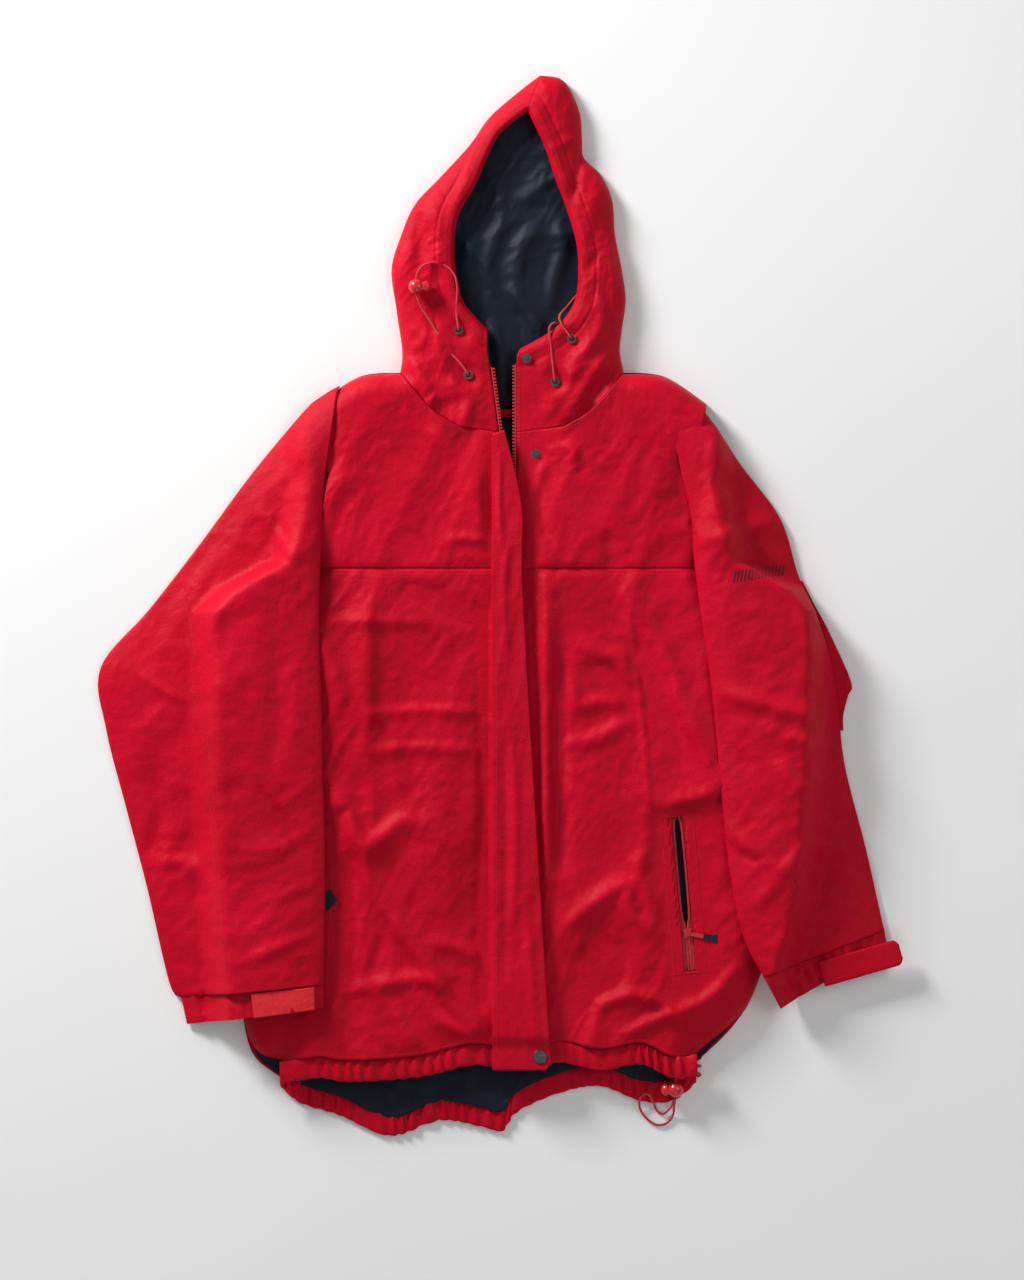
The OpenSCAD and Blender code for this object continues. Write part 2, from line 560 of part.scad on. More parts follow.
// ---- Cord locks: a ball with a sprung plunger along +X and the cord through both along Y ----
bore_r = plunger_r + 0.1;
mouth_x = 5.4;
bore_end = -5.4;
plunger_in = -2;
wire_r = 0.3;
cord_way = cord_r + 1.6;                     // half the height of the way for two strands
module lock_barrel() color(bright_red) difference() {
  rotate([0, 90, 0]) rotate_extrude() difference() {
    circle(lock_r);
    translate([-2 * lock_r, -lock_r]) square(2 * lock_r);
    translate([0, mouth_x]) square(2 * lock_r);
    translate([0, bore_end]) square([bore_r, 2 * lock_r]);
  }
  translate([-cord_r - 0.7, -lock_r, -cord_way]) cube([2 * cord_r + 1.4, 2 * lock_r, 2 * cord_way]);
}
module lock_plunger() color(bright_red) difference() {
  union() {
    translate([plunger_in, 0, 0]) rotate([0, 90, 0]) cylinder(r = plunger_r, h = 11);
    intersection() {
      translate([9.2, 0, 0]) sphere(r = 6.3);
      translate([mouth_x + lock_travel + 0.5, -8, -8]) cube(16);
    }
  }
  translate([-cord_r - 0.6, -lock_r, -cord_way])
    cube([2 * cord_r + 1.2 + lock_travel, 2 * lock_r, 2 * cord_way]);
}
spring_l = plunger_in - bore_end - 0.2;
module lock_spring() translate([bore_end + 0.1, 0, 0])
  cord([for (k = [0:36]) let (x = wire_r + (spring_l - 2 * wire_r) * k / 36)
    [x, 3.4 * cos(30 * k), 3.4 * sin(30 * k)]], wire_r, 6);
module at_hood_lock() translate(hood_lock) children();
module at_inner_lock() translate(inner_lock) rotate([0, 0, 90]) children();
module at_hem_lock() translate(hem_lock) rotate([0, 0, 180]) children();
module right_hood_lock_barrel() at_hood_lock() lock_barrel();
module right_hood_lock_plunger() at_hood_lock() lock_plunger();
module left_hood_lock_barrel() at_inner_lock() lock_barrel();
module left_hood_lock_plunger() at_inner_lock() lock_plunger();
module hem_lock_barrel() at_hem_lock() lock_barrel();
module hem_lock_plunger() at_hem_lock() lock_plunger();
module cord_lock_springs() color(gunmetal) {
  at_hood_lock() lock_spring();
  at_inner_lock() lock_spring();
  at_hem_lock() lock_spring();
}

// ---- Sleeves: a top and an under layer between an outer and an inner edge ----
right_outer = graded([[-177, 233], [-206, 208], [-264, 140], [-321, 63], [-373, -4], [-423, -64],
  [-417, -128], [-396, -210], [-375, -290], [-352, -388], [-340, -402]]);
right_inner = graded([[-193, 130], [-195, 98], [-196, 55], [-198, 0], [-197, -60], [-195, -110],
  [-194, -170], [-192, -235], [-192, -300], [-193, -370], [-193, -388]]);
right_cuff_ends = graded([[-334, -430], [-193, -411]]);
left_outer = graded([[150, 233], [191, 207], [235, 145], [276, 89], [294, 32], [312, -10], [330, -65],
  [336, -115], [343, -169], [364, -251], [379, -318], [383, -334]]);
left_elbow = graded([[150.6, 233.8], [191.7, 207.8], [235.8, 145.6], [276.9, 89.5], [297, 32], [324, -24],
  [348, -78], [341, -113], [344, -169.3], [365, -251.3], [380, -318], [384, -334]]);
left_inner = graded([[174, 138], [184, 92], [186, 56], [190, 20], [197, -30], [203, -70], [208, -115],
  [212, -160], [216, -205], [222, -262], [236, -335], [258, -380]]);
left_cuff_ends = graded([[386, -349], [276, -413]]);
// Half width of what a sleeve lies on, by height up the jacket
right_support = [[-500, 276], [-430, 276], [-200, 291], [-6, 293], [16, 270], [46, 215],
  [130, 191], [200, 202], [300, 202]];
left_support = [[-500, 252], [-390, 254], [-303, 277], [-160, 290], [-6, 293], [16, 270], [46, 215],
  [130, 191], [200, 202], [300, 202]];
function ease(t) = let (c = max(0, min(1, t))) c * c * (3 - 2 * c);
function lie(p, support) = let (edge = lookup(p[1] / grade_y, support) * grade_x)
  floor_z + (sleeve_z - floor_z) * ease((edge + 40 - abs(p[0])) / 34);
function puff(u) = pow(max(0, sin(180 * u)), 0.6);
across = 9;
// Grids of points over a sleeve, and a closed slab between a lower and an upper grid
function sheet(outer, inner, support, lift, gap, from = 0, to = 1) = [for (v = [0:len(outer) - 1])
  [for (k = [0:across]) let (u = from + (to - from) * k / across, p = outer[v] + (inner[v] - outer[v]) * u)
    [p[0], p[1], lie(p, support) + lift + gap * puff(u)]]];
function raised(grid, t) = [for (row = grid) [for (p = row) p + [0, 0, t]]];
module slab(low, high) {
  rows = len(low);
  cols = len(low[0]);
  n = rows * cols;
  top = [for (v = [0:rows - 2], u = [0:cols - 2]) let (i = n + v * cols + u)
    each [[i, i + 1, i + cols], [i + 1, i + cols + 1, i + cols]]];
  edge = concat([for (u = [0:cols - 2]) [u, u + 1]],
    [for (v = [0:rows - 2]) [v * cols + cols - 1, (v + 1) * cols + cols - 1]],
    [for (u = [cols - 2:-1:0]) [(rows - 1) * cols + u + 1, (rows - 1) * cols + u]],
    [for (v = [rows - 2:-1:0]) [(v + 1) * cols, v * cols]]);
  walls = [for (e = edge) each [[e[0], e[1] + n, e[0] + n], [e[0], e[1], e[1] + n]]];
  faces = concat(top, [for (f = top) [f[0] - n, f[2] - n, f[1] - n]], walls);
  polyhedron([for (g = [low, high], row = g, p = row) p], faces, 4);
}
function flipped(grid) = [for (row = grid) reversed(row)];
module layer(outer, inner, support, lift, gap, s, t = shell_t, from = 0, to = 1) {
  g = sheet(outer, inner, support, lift, gap, from, to);
  low = s > 0 ? flipped(g) : g;
  slab(raised(low, t), low);
}
module right_sleeve_top() color(red) layer(right_outer, right_inner, right_support, shell_t, sleeve_gap, -1);
module right_sleeve_under() color(red) layer(right_outer, right_inner, right_support, 0, 0, -1);
module left_sleeve_top() color(red) layer(left_outer, left_inner, left_support, shell_t, sleeve_gap, 1);
// The left under layer has one more row of points, outside the top layer, which stands out at the elbow
module left_sleeve_under() color(red) {
  g = sheet(left_outer, left_inner, left_support, 0, 0);
  wide = [for (v = [0:len(g) - 1]) concat([[each left_elbow[v], lie(left_elbow[v], left_support)]], g[v])];
  slab(raised(flipped(wide), shell_t), flipped(wide));
}

// ---- Cuffs ----
function last(pts) = pts[len(pts) - 1];
// A cuff's edge in three points, from the end of a sleeve's edge to the cuff's end
function cuff_edge(edge, end) = [last(edge) + [0, -air], (last(edge) + end) / 2, end];
right_cuff_outer = cuff_edge(right_outer, right_cuff_ends[0]);
right_cuff_inner = cuff_edge(right_inner, right_cuff_ends[1]);
left_cuff_outer = cuff_edge(left_outer, left_cuff_ends[0]);
left_cuff_inner = cuff_edge(left_inner, left_cuff_ends[1]);
cuff_lift = shell_t - 0.3;                   // the layers of a cuff are sewn together at its edges
module cuff(outer, inner, support, s) color(red) {
  layer(outer, inner, support, 0, 0, s);
  layer(outer, inner, support, cuff_lift, cuff_gap, s);
}
module right_cuff() cuff(right_cuff_outer, right_cuff_inner, right_support, -1);
module left_cuff() cuff(left_cuff_outer, left_cuff_inner, left_support, 1);

// The left tab is sewn on top of its cuff and reaches out past the sleeve
left_tab = [318 * grade_x, -378 * grade_y, floor_z + cuff_lift + cuff_gap + shell_t + 0.8];
left_tab_angle = 16;
module tab_shape(length, width) linear_extrude(tab_t) hull() {
  translate([0, -width / 2 - 2]) square([2, width + 4]);
  translate([length - 5, -width / 2]) square([1, 1]);
  for (y = [-1, 1]) translate([length - 3, y * (width / 2 - 3)]) circle(3);
}
module left_cuff_tab() color(red) translate(left_tab) rotate([0, 0, left_tab_angle]) tab_shape(tab_l, tab_w);
// The right tab is folded back under its cuff and slopes down to the front
right_tab = [-198 * grade_x, -402 * grade_y, sleeve_z - tab_t - 0.4];
right_tab_slope = asin((right_tab[2] - front_z - 0.6) / tab_l);
module right_cuff_tab() color(red)
  translate(right_tab) rotate([0, right_tab_slope, 180]) tab_shape(tab_l, patch_w);
// A tab fastens to a loop patch: on top of the right cuff, and under the left cuff
patch_t = 1.2;
module right_cuff_loop_patch() color(bright_red) layer(shifted(right_cuff_outer, [0, -1]),
  shifted(right_cuff_inner, [0, -1]), right_support, cuff_lift + shell_t + 0.2, cuff_gap, -1,
  patch_t, 0.5, 0.94);
left_patch = [326 * grade_x, -390 * grade_y];
left_patch_t = floor_z - 0.05;
module left_cuff_loop_patch() color(bright_red)
  translate([left_patch[0], left_patch[1], 0]) rotate([0, 0, left_tab_angle])
    cube([patch_l / 2, patch_w, left_patch_t]);

// ---- Inside the neck ----
label_t = 0.5;
module neck_label() color(navy) translate([-32, 160 * grade_y, cavity_z]) cube([64, 28, label_t]);
loop_h = 6;
loop_w = 8;
loop_l = 70;
module hanger_loop() color(bright_red) translate([0, 202 * grade_y, cavity_z]) rotate([90, 0, 0])
  linear_extrude(loop_w) polygon([[-loop_l / 2, 0], [-loop_l / 2, 0.8], [-loop_l / 2 + 8, 0.8],
    [-loop_l / 2 + 12, loop_h + 0.8], [loop_l / 2 - 12, loop_h + 0.8], [loop_l / 2 - 8, 0.8],
    [loop_l / 2, 0.8],
    [loop_l / 2, 0], [loop_l / 2 - 8.8, 0], [loop_l / 2 - 12.8, loop_h], [-loop_l / 2 + 12.8, loop_h],
    [-loop_l / 2 + 8.8, 0]]);

back_panel();
back_lining();
right_front_panel();
left_front_panel();
right_yoke();
left_yoke();
right_front_lining();
left_front_lining();
back_hem_band();
right_hem_band();
left_hem_band();
hem_elastic();
hem_cord();
hem_lock_barrel();
hem_lock_plunger();
cord_lock_springs();
right_zip_tape();
left_zip_tape();
right_zip_teeth();
left_zip_teeth();
zip_retainer_box();
zip_slider();
zip_pull();
storm_flap();
flap_snap_caps();
flap_snap_sockets();
front_snap_studs();
right_pocket_welt();
left_pocket_welt();
right_pocket_bag();
left_pocket_bag();
right_pocket_zip();
left_pocket_zip();
right_pocket_slider();
left_pocket_slider();
right_pocket_pull();
left_pocket_pull();
hood_back_panel();
hood_lining();
hood_right_panel();
hood_left_panel();
hood_eyelets();
right_hood_cord();
left_hood_cord();
right_hood_lock_barrel();
right_hood_lock_plunger();
left_hood_lock_barrel();
left_hood_lock_plunger();
right_sleeve_top();
right_sleeve_under();
left_sleeve_top();
left_sleeve_under();
right_cuff();
left_cuff();
right_cuff_tab();
left_cuff_tab();
right_cuff_loop_patch();
left_cuff_loop_patch();
neck_label();
hanger_loop();
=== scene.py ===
# %% [markdown]
# # A foul weather jacket, laid flat
# The jacket is a lined sailing jacket that lies on its back with the sleeves folded over the front.
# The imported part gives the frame: where each layer, zip, snap, eyelet and cord lock is.
# This script dresses it. Cloth is built as fine grids of points that follow the pattern pieces, and each
# grid is lifted by the folds that the cloth has taken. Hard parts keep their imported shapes.

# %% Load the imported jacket
import math

import bmesh
import bpy
import numpy as np
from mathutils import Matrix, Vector
from mathutils.bvhtree import BVHTree


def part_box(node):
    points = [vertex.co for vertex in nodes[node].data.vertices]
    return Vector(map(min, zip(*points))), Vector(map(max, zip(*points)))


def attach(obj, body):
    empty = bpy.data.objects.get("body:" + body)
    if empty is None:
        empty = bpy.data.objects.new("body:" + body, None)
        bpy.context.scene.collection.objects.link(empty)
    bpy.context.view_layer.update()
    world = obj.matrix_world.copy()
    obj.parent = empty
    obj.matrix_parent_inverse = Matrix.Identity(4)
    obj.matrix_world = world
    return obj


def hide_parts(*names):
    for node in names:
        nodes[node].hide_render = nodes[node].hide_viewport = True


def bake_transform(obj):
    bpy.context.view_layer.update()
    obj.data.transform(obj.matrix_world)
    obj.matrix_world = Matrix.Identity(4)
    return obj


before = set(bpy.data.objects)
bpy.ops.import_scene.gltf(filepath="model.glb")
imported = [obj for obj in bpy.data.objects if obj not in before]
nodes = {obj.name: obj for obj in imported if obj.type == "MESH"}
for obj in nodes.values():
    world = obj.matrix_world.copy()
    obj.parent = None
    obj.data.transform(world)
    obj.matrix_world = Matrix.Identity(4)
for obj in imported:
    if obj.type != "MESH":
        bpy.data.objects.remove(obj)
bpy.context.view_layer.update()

# %% [markdown]
# The camera looks straight down at the jacket on its white sheet.
# A long lens keeps the sides of the jacket from leaning.

# %% Camera
VIEW_HEIGHT = 1.318
VIEW_CENTRE_Y = -0.035
LENS = 150
SENSOR = 36
camera_data = bpy.data.cameras.new("camera")
camera_data.lens = LENS
camera_data.sensor_width = SENSOR
camera = bpy.data.objects.new("camera", camera_data)
bpy.context.scene.collection.objects.link(camera)
camera.location = (0, VIEW_CENTRE_Y, VIEW_HEIGHT * LENS / SENSOR)
bpy.context.scene.camera = camera
bpy.context.scene.view_settings.view_transform = "Standard"
print("camera at", tuple(camera.location))


# %% [markdown]
# Soft light from a panel set low beyond the right shoulder rakes across the folds, and two weaker panels
# fill the shadows.

# %% Lights
def panel_light(name, place, width, power):
    data = bpy.data.lights.new(name, "AREA")
    data.shape = "SQUARE"
    data.size = width
    data.energy = power
    light = bpy.data.objects.new(name, data)
    bpy.context.scene.collection.objects.link(light)
    light.location = place
    light.rotation_euler = (Vector((0, 0, 0)) - Vector(place)).to_track_quat("-Z", "Y").to_euler()
    return light


panel_light("key", (-2.0, 2.1, 1.15), 0.8, 128)
panel_light("fill", (1.9, 0.6, 2.2), 1.6, 13)
panel_light("low fill", (0.4, -2.2, 1.9), 1.6, 6)
world = bpy.data.worlds.new("studio")
world.use_nodes = True
world.node_tree.nodes["Background"].inputs["Color"].default_value = (1, 1, 1, 1)
world.node_tree.nodes["Background"].inputs["Strength"].default_value = 0.27
bpy.context.scene.world = world


# %% [markdown]
# ## Materials
# Shader maths reads best as plain sums, so a small class wraps a socket and turns + - * and ** into Math
# nodes.

# %% A socket that can be added and multiplied
class Wire:
    def __init__(self, tree, socket):
        self.tree = tree
        self.socket = socket

    def math(self, operation, *others):
        node = self.tree.nodes.new("ShaderNodeMath")
        node.operation = operation
        for slot_number, value in enumerate((self, *others)):
            if isinstance(value, Wire):
                self.tree.links.new(value.socket, node.inputs[slot_number])
            else:
                node.inputs[slot_number].default_value = value
        return Wire(self.tree, node.outputs[0])

    def __add__(self, other):
        return self.math("ADD", other)

    def __mul__(self, other):
        return self.math("MULTIPLY", other)

    def __sub__(self, other):
        return self.math("SUBTRACT", other)

    def __rsub__(self, other):
        return (self * -1.0).math("ADD", other)

    def __pow__(self, other):
        return self.math("POWER", other)

    __radd__ = __add__
    __rmul__ = __mul__


class Finish:
    """A material on the Principled shader, with one method that adds any other node."""

    def __init__(self, name, **constants):
        self.material = bpy.data.materials.new(name)
        self.material.use_nodes = True
        self.tree = self.material.node_tree
        self.shader = self.tree.nodes["Principled BSDF"]
        for socket, value in constants.items():
            self.shader.inputs[socket.replace("_", " ")].default_value = value
        self.place = self.add("ShaderNodeTexCoord", output="Object")

    def add(self, kind, output=0, settings=None, **values):
        node = self.tree.nodes.new(kind)
        for key, value in (settings or {}).items():
            setattr(node, key, value)
        for key, value in values.items():
            target = node.inputs[key.replace("_", " ")]
            if isinstance(value, Wire):
                self.tree.links.new(value.socket, target)
            else:
                target.default_value = value
        return Wire(self.tree, node.outputs[output])

    def noise(self, scale, detail=3.0, rough=0.5, where=None, kind="FBM"):
        return self.add("ShaderNodeTexNoise", settings={"noise_type": kind}, Vector=where or self.place,
                        Scale=scale, Detail=detail, Roughness=rough)

    def ramp(self, factor, stops):
        node = self.tree.nodes.new("ShaderNodeValToRGB")
        while len(node.color_ramp.elements) < len(stops):
            node.color_ramp.elements.new(0.5)
        for element, (position, colour) in zip(node.color_ramp.elements, stops):
            element.position = position
            element.color = (*colour, 1)
        self.tree.links.new(factor.socket, node.inputs["Fac"])
        return Wire(self.tree, node.outputs["Color"])

    def feed(self, socket, value):
        self.tree.links.new(value.socket, self.shader.inputs[socket])

    def bump(self, height, distance, strength=1.0):
        self.feed("Normal", self.add("ShaderNodeBump", output="Normal", Height=height, Distance=distance,
                                     Strength=strength))


# %% [markdown]
# The shell is a coated nylon: a tight plain weave, fine crinkles all over, and a low satin gloss.
# The weave follows the cloth's own UV map, which is in metres, so it bends with each piece.

# %% Shell, lining and other cloths
def weave(finish, threads):
    """A plain weave with that many threads to the metre, from 0 to 1."""
    uv = finish.add("ShaderNodeTexCoord", output="UV")
    parts = finish.tree.nodes.new("ShaderNodeSeparateXYZ")
    finish.tree.links.new(uv.socket, parts.inputs[0])
    along, across = (Wire(finish.tree, parts.outputs[axis]) for axis in (0, 1))
    turn = 2 * math.pi * threads
    return (along * turn).math("SINE") * (across * turn).math("SINE") * 0.5 + 0.5


def cloth_finish(name, stops, gloss, crinkle, threads, gleam=0.2):
    finish = Finish(name, Specular_IOR_Level=gleam)
    blotch = finish.noise(9, 4, 0.6)
    mottle = finish.noise(420, 2, 0.6)
    finish.feed("Base Color", finish.ramp(blotch * 0.72 + mottle * 0.28, stops))
    finish.feed("Roughness", finish.noise(35, 3) * 0.22 + gloss)
    ridges = finish.noise(70, 4, 0.55, kind="RIDGED_MULTIFRACTAL")
    lines = finish.noise(230, 3, 0.5)
    finish.bump(ridges * (0.5 * crinkle) + lines * (0.25 * crinkle) + weave(finish, threads) * 0.06, 0.0011)
    return finish.material


shell_red = cloth_finish("shell_nylon", [(0.25, (0.42, 0.001, 0.012)), (0.5, (0.53, 0.002, 0.018)),
                                         (0.75, (0.62, 0.003, 0.026))], 0.38, 1.5, 900, 0.09)
lining_navy = cloth_finish("lining_satin", [(0.25, (0.006, 0.009, 0.016)), (0.75, (0.014, 0.020, 0.034))],
                           0.32, 0.8, 1400, 0.12)
tape_red = cloth_finish("zip_tape", [(0.3, (0.38, 0.004, 0.014)), (0.7, (0.46, 0.006, 0.02))], 0.6, 0.2, 700)
label_navy = cloth_finish("woven_label", [(0.3, (0.008, 0.010, 0.018)), (0.7, (0.02, 0.024, 0.038))],
                          0.6, 0.2, 1200)
pile_red = cloth_finish("loop_pile", [(0.3, (0.62, 0.012, 0.02)), (0.7, (0.86, 0.05, 0.06))], 0.7, 0.8,
                         500, 0.1)


# %% [markdown]
# Moulded and metal parts are smoother: the cord locks shine, the zips are matt, and the snaps and
# eyelets are dark plated metal, worn a little brighter in patches.

# %% Plastics, metals and cord
def hard_finish(name, stops, gloss, grain, metallic=0.0, coat=0.0):
    finish = Finish(name, Metallic=metallic, Coat_Weight=coat, Coat_Roughness=0.12)
    finish.feed("Base Color", finish.ramp(finish.noise(260, 4, 0.6), stops))
    finish.feed("Roughness", finish.noise(600, 3) * 0.2 + gloss)
    finish.bump(finish.noise(1500, 2), grain)
    return finish.material


zip_red = hard_finish("zip_plastic", [(0.3, (0.50, 0.01, 0.02)), (0.7, (0.64, 0.02, 0.035))], 0.35, 0.0002)
lock_red = hard_finish("lock_plastic", [(0.3, (0.58, 0.006, 0.018)), (0.7, (0.66, 0.010, 0.024))], 0.12,
                       0.00004, coat=0.6)
dark_metal = hard_finish("plated_metal", [(0.3, (0.10, 0.10, 0.11)), (0.7, (0.24, 0.24, 0.26))], 0.22,
                         0.00008, metallic=0.9)
spring_steel = hard_finish("spring_steel", [(0.3, (0.5, 0.5, 0.52)), (0.7, (0.7, 0.7, 0.72))], 0.2, 0.00005,
                           metallic=1.0)


def cord_finish(name):
    finish = Finish(name, Sheen_Weight=0.2)
    uv = finish.add("ShaderNodeTexCoord", output="UV")
    parts = finish.tree.nodes.new("ShaderNodeSeparateXYZ")
    finish.tree.links.new(uv.socket, parts.inputs[0])
    around, along = (Wire(finish.tree, parts.outputs[axis]) for axis in (0, 1))
    one_way = (along * 5200 + around * 18.85).math("SINE")
    other_way = (along * 5200 - around * 18.85).math("SINE")
    plait = (one_way * other_way) * 0.5 + 0.5
    # The colour mixes random tone with the plait: the grooves of the braid are painted darker than its raised
    # strands, as painted shade.
    finish.feed("Base Color", finish.ramp(plait * 0.6 + finish.noise(300) * 0.4,
                                          [(0.2, (0.40, 0.004, 0.012)), (0.8, (0.66, 0.012, 0.03))]))
    finish.feed("Roughness", plait * -0.2 + 0.75)
    finish.bump(plait, 0.0004)
    return finish.material


cord_red = cord_finish("braided_cord")


def paint(obj, material):
    obj.data.materials.clear()
    obj.data.materials.append(material)


kept_finishes = {
    zip_red: ["right_zip_teeth", "left_zip_teeth", "zip_retainer_box", "right_pocket_zip", "left_pocket_zip",
              "right_pocket_slider", "left_pocket_slider"],
    tape_red: ["right_zip_tape", "left_zip_tape"],
    dark_metal: ["zip_slider", "zip_pull", "flap_snap_sockets", "hood_eyelets", "front_snap_studs",
                 "flap_snap_caps"],
    lock_red: ["hem_lock_barrel", "hem_lock_plunger", "right_hood_lock_barrel", "right_hood_lock_plunger",
               "left_hood_lock_barrel", "left_hood_lock_plunger"],
    spring_steel: ["cord_lock_springs"],
    cord_red: ["hem_elastic"],
}
for material, names in kept_finishes.items():
    for node_name in names:
        paint(nodes[node_name], material)
print("kept nodes finished:", sum(len(names) for names in kept_finishes.values()))


# %% [markdown]
# ## Curves and grids
# A pattern piece is drawn by its edges. Each edge is a short list of points in millimetres, rounded off by a
# curve, and a grid of points is stretched between the edges.

# %% Curves
def mm(points):
    return np.array(points, float) * 0.001


def rounded(points, steps=8):
    """A Catmull-Rom curve through the points."""
    p = np.vstack([points[:1], points, points[-1:]])
    out = []
    for i in range(len(p) - 3):
        a, b, c, d = p[i:i + 4]
        for t in np.arange(steps) / steps:
            out.append(0.5 * (2 * b + (c - a) * t + (2 * a - 5 * b + 4 * c - d) * t ** 2
                              + (3 * b - a - 3 * c + d) * t ** 3))
    return np.array(out + [p[-1]])


def spread(points, count):
    """The same line, with its points an equal length apart."""
    gone = np.concatenate([[0], np.cumsum(np.linalg.norm(np.diff(points, axis=0), axis=1))])
    at = np.linspace(0, gone[-1], count)
    return np.stack([np.interp(at, gone, points[:, k]) for k in range(points.shape[1])], axis=1)


def line(*points):
    return rounded(mm(points))


def flip(points):
    return points[::-1]


def mirror(points):
    return points * np.array([-1, 1])


def stretched(bottom, top, left, right, wide, tall):
    """A grid in plan between four edges. Bottom and top run left to right, and the sides run upwards."""
    b, t = spread(bottom, wide), spread(top, wide)
    l, r = spread(left, tall), spread(right, tall)
    u = np.linspace(0, 1, wide)[None, :, None]
    v = np.linspace(0, 1, tall)[:, None, None]
    corners = (1 - u) * (1 - v) * b[0] + u * (1 - v) * b[-1] + (1 - u) * v * t[0] + u * v * t[-1]
    return (1 - v) * b[None] + v * t[None] + (1 - u) * l[:, None] + u * r[:, None] - corners


def distance(xy, points):
    """How far each point of a grid is from a line."""
    best = np.full(xy.shape[:-1], 9.0)
    for a, b in zip(points[:-1], points[1:]):
        edge = b - a
        t = np.clip(((xy - a) @ edge) / max(edge @ edge, 1e-12), 0, 1)
        best = np.minimum(best, np.linalg.norm(xy - a - t[..., None] * edge, axis=-1))
    return best


def ease(t):
    t = np.clip(t, 0, 1)
    return t * t * (3 - 2 * t)


# %% [markdown]
# Cloth folds in two ways here: long folds that hang from a seam or a bend, which are drawn one by one, and
# crumples with no pattern, which come from seeded noise with sharp ridges.

# %% Noise and folds
def lattice_noise(x, y, seed):
    """Smooth noise from -1 to 1, with cells one unit wide."""
    table = np.random.default_rng(seed).uniform(-1, 1, (64, 64))
    i, j = np.floor(x).astype(int), np.floor(y).astype(int)
    u, v = ease(x - i), ease(y - j)
    value = lambda di, dj: table[(i + di) % 64, (j + dj) % 64]
    low = value(0, 0) * (1 - u) + value(1, 0) * u
    high = value(0, 1) * (1 - u) + value(1, 1) * u
    return low * (1 - v) + high * v


def crumple(xy, cell, seed, turn=0.0, longer=1.0, layers=3):
    """Ridged noise: flat patches that meet in soft creases. Cells are longer along the direction turn."""
    c, s = math.cos(math.radians(turn)), math.sin(math.radians(turn))
    x = (xy[..., 0] * c + xy[..., 1] * s) / (cell * longer)
    y = (xy[..., 1] * c - xy[..., 0] * s) / cell
    bend_x = lattice_noise(x * 0.5 + 7, y * 0.5, seed + 1) * 0.6
    bend_y = lattice_noise(x * 0.5, y * 0.5 + 3, seed + 2) * 0.6
    total = np.zeros(x.shape)
    for k in range(layers):
        n = lattice_noise((x + bend_x) * 2 ** k + k * 11, (y + bend_y) * 2 ** k, seed + 10 * k)
        total += (1 - np.sqrt(n * n + 0.004) * 2) / 2.1 ** k
    return total * 0.5


def drawn_folds(xy, folds):
    """Long folds: each is (height, width on the left, width on the right, points), all in millimetres."""
    lift = np.zeros(xy.shape[:-1])
    for height, left_width, right_width, points in folds:
        path = rounded(mm(points), 5)
        best = np.full(lift.shape, 9.0)
        side = np.zeros(lift.shape)
        along = np.zeros(lift.shape)
        steps = len(path) - 1
        for k, (a, b) in enumerate(zip(path[:-1], path[1:])):
            edge = b - a
            t = np.clip(((xy - a) @ edge) / max(edge @ edge, 1e-12), 0, 1)
            off = xy - a - t[..., None] * edge
            far = np.linalg.norm(off, axis=-1)
            near = far < best
            best = np.where(near, far, best)
            side = np.where(near, edge[0] * off[..., 1] - edge[1] * off[..., 0], side)
            along = np.where(near, (k + t) / steps, along)
        width = np.where(side > 0, left_width, right_width) * 0.001
        taper = np.sqrt(np.clip(np.sin(np.pi * (0.06 + 0.88 * along)), 0, 1))
        lift += height * 0.001 * taper * np.exp(-(best / width) ** 2)
    return lift


# %% [markdown]
# A cloth piece is a grid of points with a UV map in metres. Solidify gives it the thickness of the cloth.

# %% Cloth from a grid
def cloth(name, grid, thickness, material, body, replaces=(), loop=False, hole=None):
    tall, wide = grid.shape[:2]
    mesh = bpy.data.meshes.new(name)
    index = np.arange(tall * wide).reshape(tall, wide)
    if loop:
        index = np.hstack([index, index[:, :1]])
    faces = np.stack([index[:-1, :-1], index[:-1, 1:], index[1:, 1:], index[1:, :-1]], axis=-1).reshape(-1, 4)
    corners = grid.reshape(-1, 3)
    if hole is not None:
        middle = corners[faces].mean(axis=1)
        faces = faces[~hole(middle[:, :2])]
    mesh.from_pydata(corners.tolist(), [], faces.tolist())
    u = np.concatenate([[0], np.cumsum(np.linalg.norm(np.diff(grid, axis=1), axis=2).mean(axis=0))])
    v = np.concatenate([[0], np.cumsum(np.linalg.norm(np.diff(grid, axis=0), axis=2).mean(axis=1))])
    flat = np.stack(np.meshgrid(u, v), axis=-1).reshape(-1, 2)
    layer = mesh.uv_layers.new(name="UVMap")
    looped = np.zeros(len(mesh.loops), int)
    mesh.loops.foreach_get("vertex_index", looped)
    layer.data.foreach_set("uv", flat[looped].ravel())
    obj = bpy.data.objects.new(name, mesh)
    bpy.context.scene.collection.objects.link(obj)
    bpy.ops.object.select_all(action="DESELECT")
    bpy.context.view_layer.objects.active = obj
    obj.select_set(True)
    if hole is not None:
        tidy = bmesh.new()
        tidy.from_mesh(mesh)
        bmesh.ops.delete(tidy, geom=[v for v in tidy.verts if not v.link_faces], context="VERTS")
        tidy.to_mesh(mesh)
        tidy.free()
    if thickness:
        solid = obj.modifiers.new("thickness", "SOLIDIFY")
        solid.thickness = thickness
        solid.offset = -1
        bpy.ops.object.modifier_apply(modifier=solid.name)
    bpy.ops.object.shade_smooth()
    obj.data.materials.append(material)
    if body:
        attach(obj, body)
    if replaces:
        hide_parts(*replaces)
    print(name, len(obj.data.polygons), "faces")
    return obj


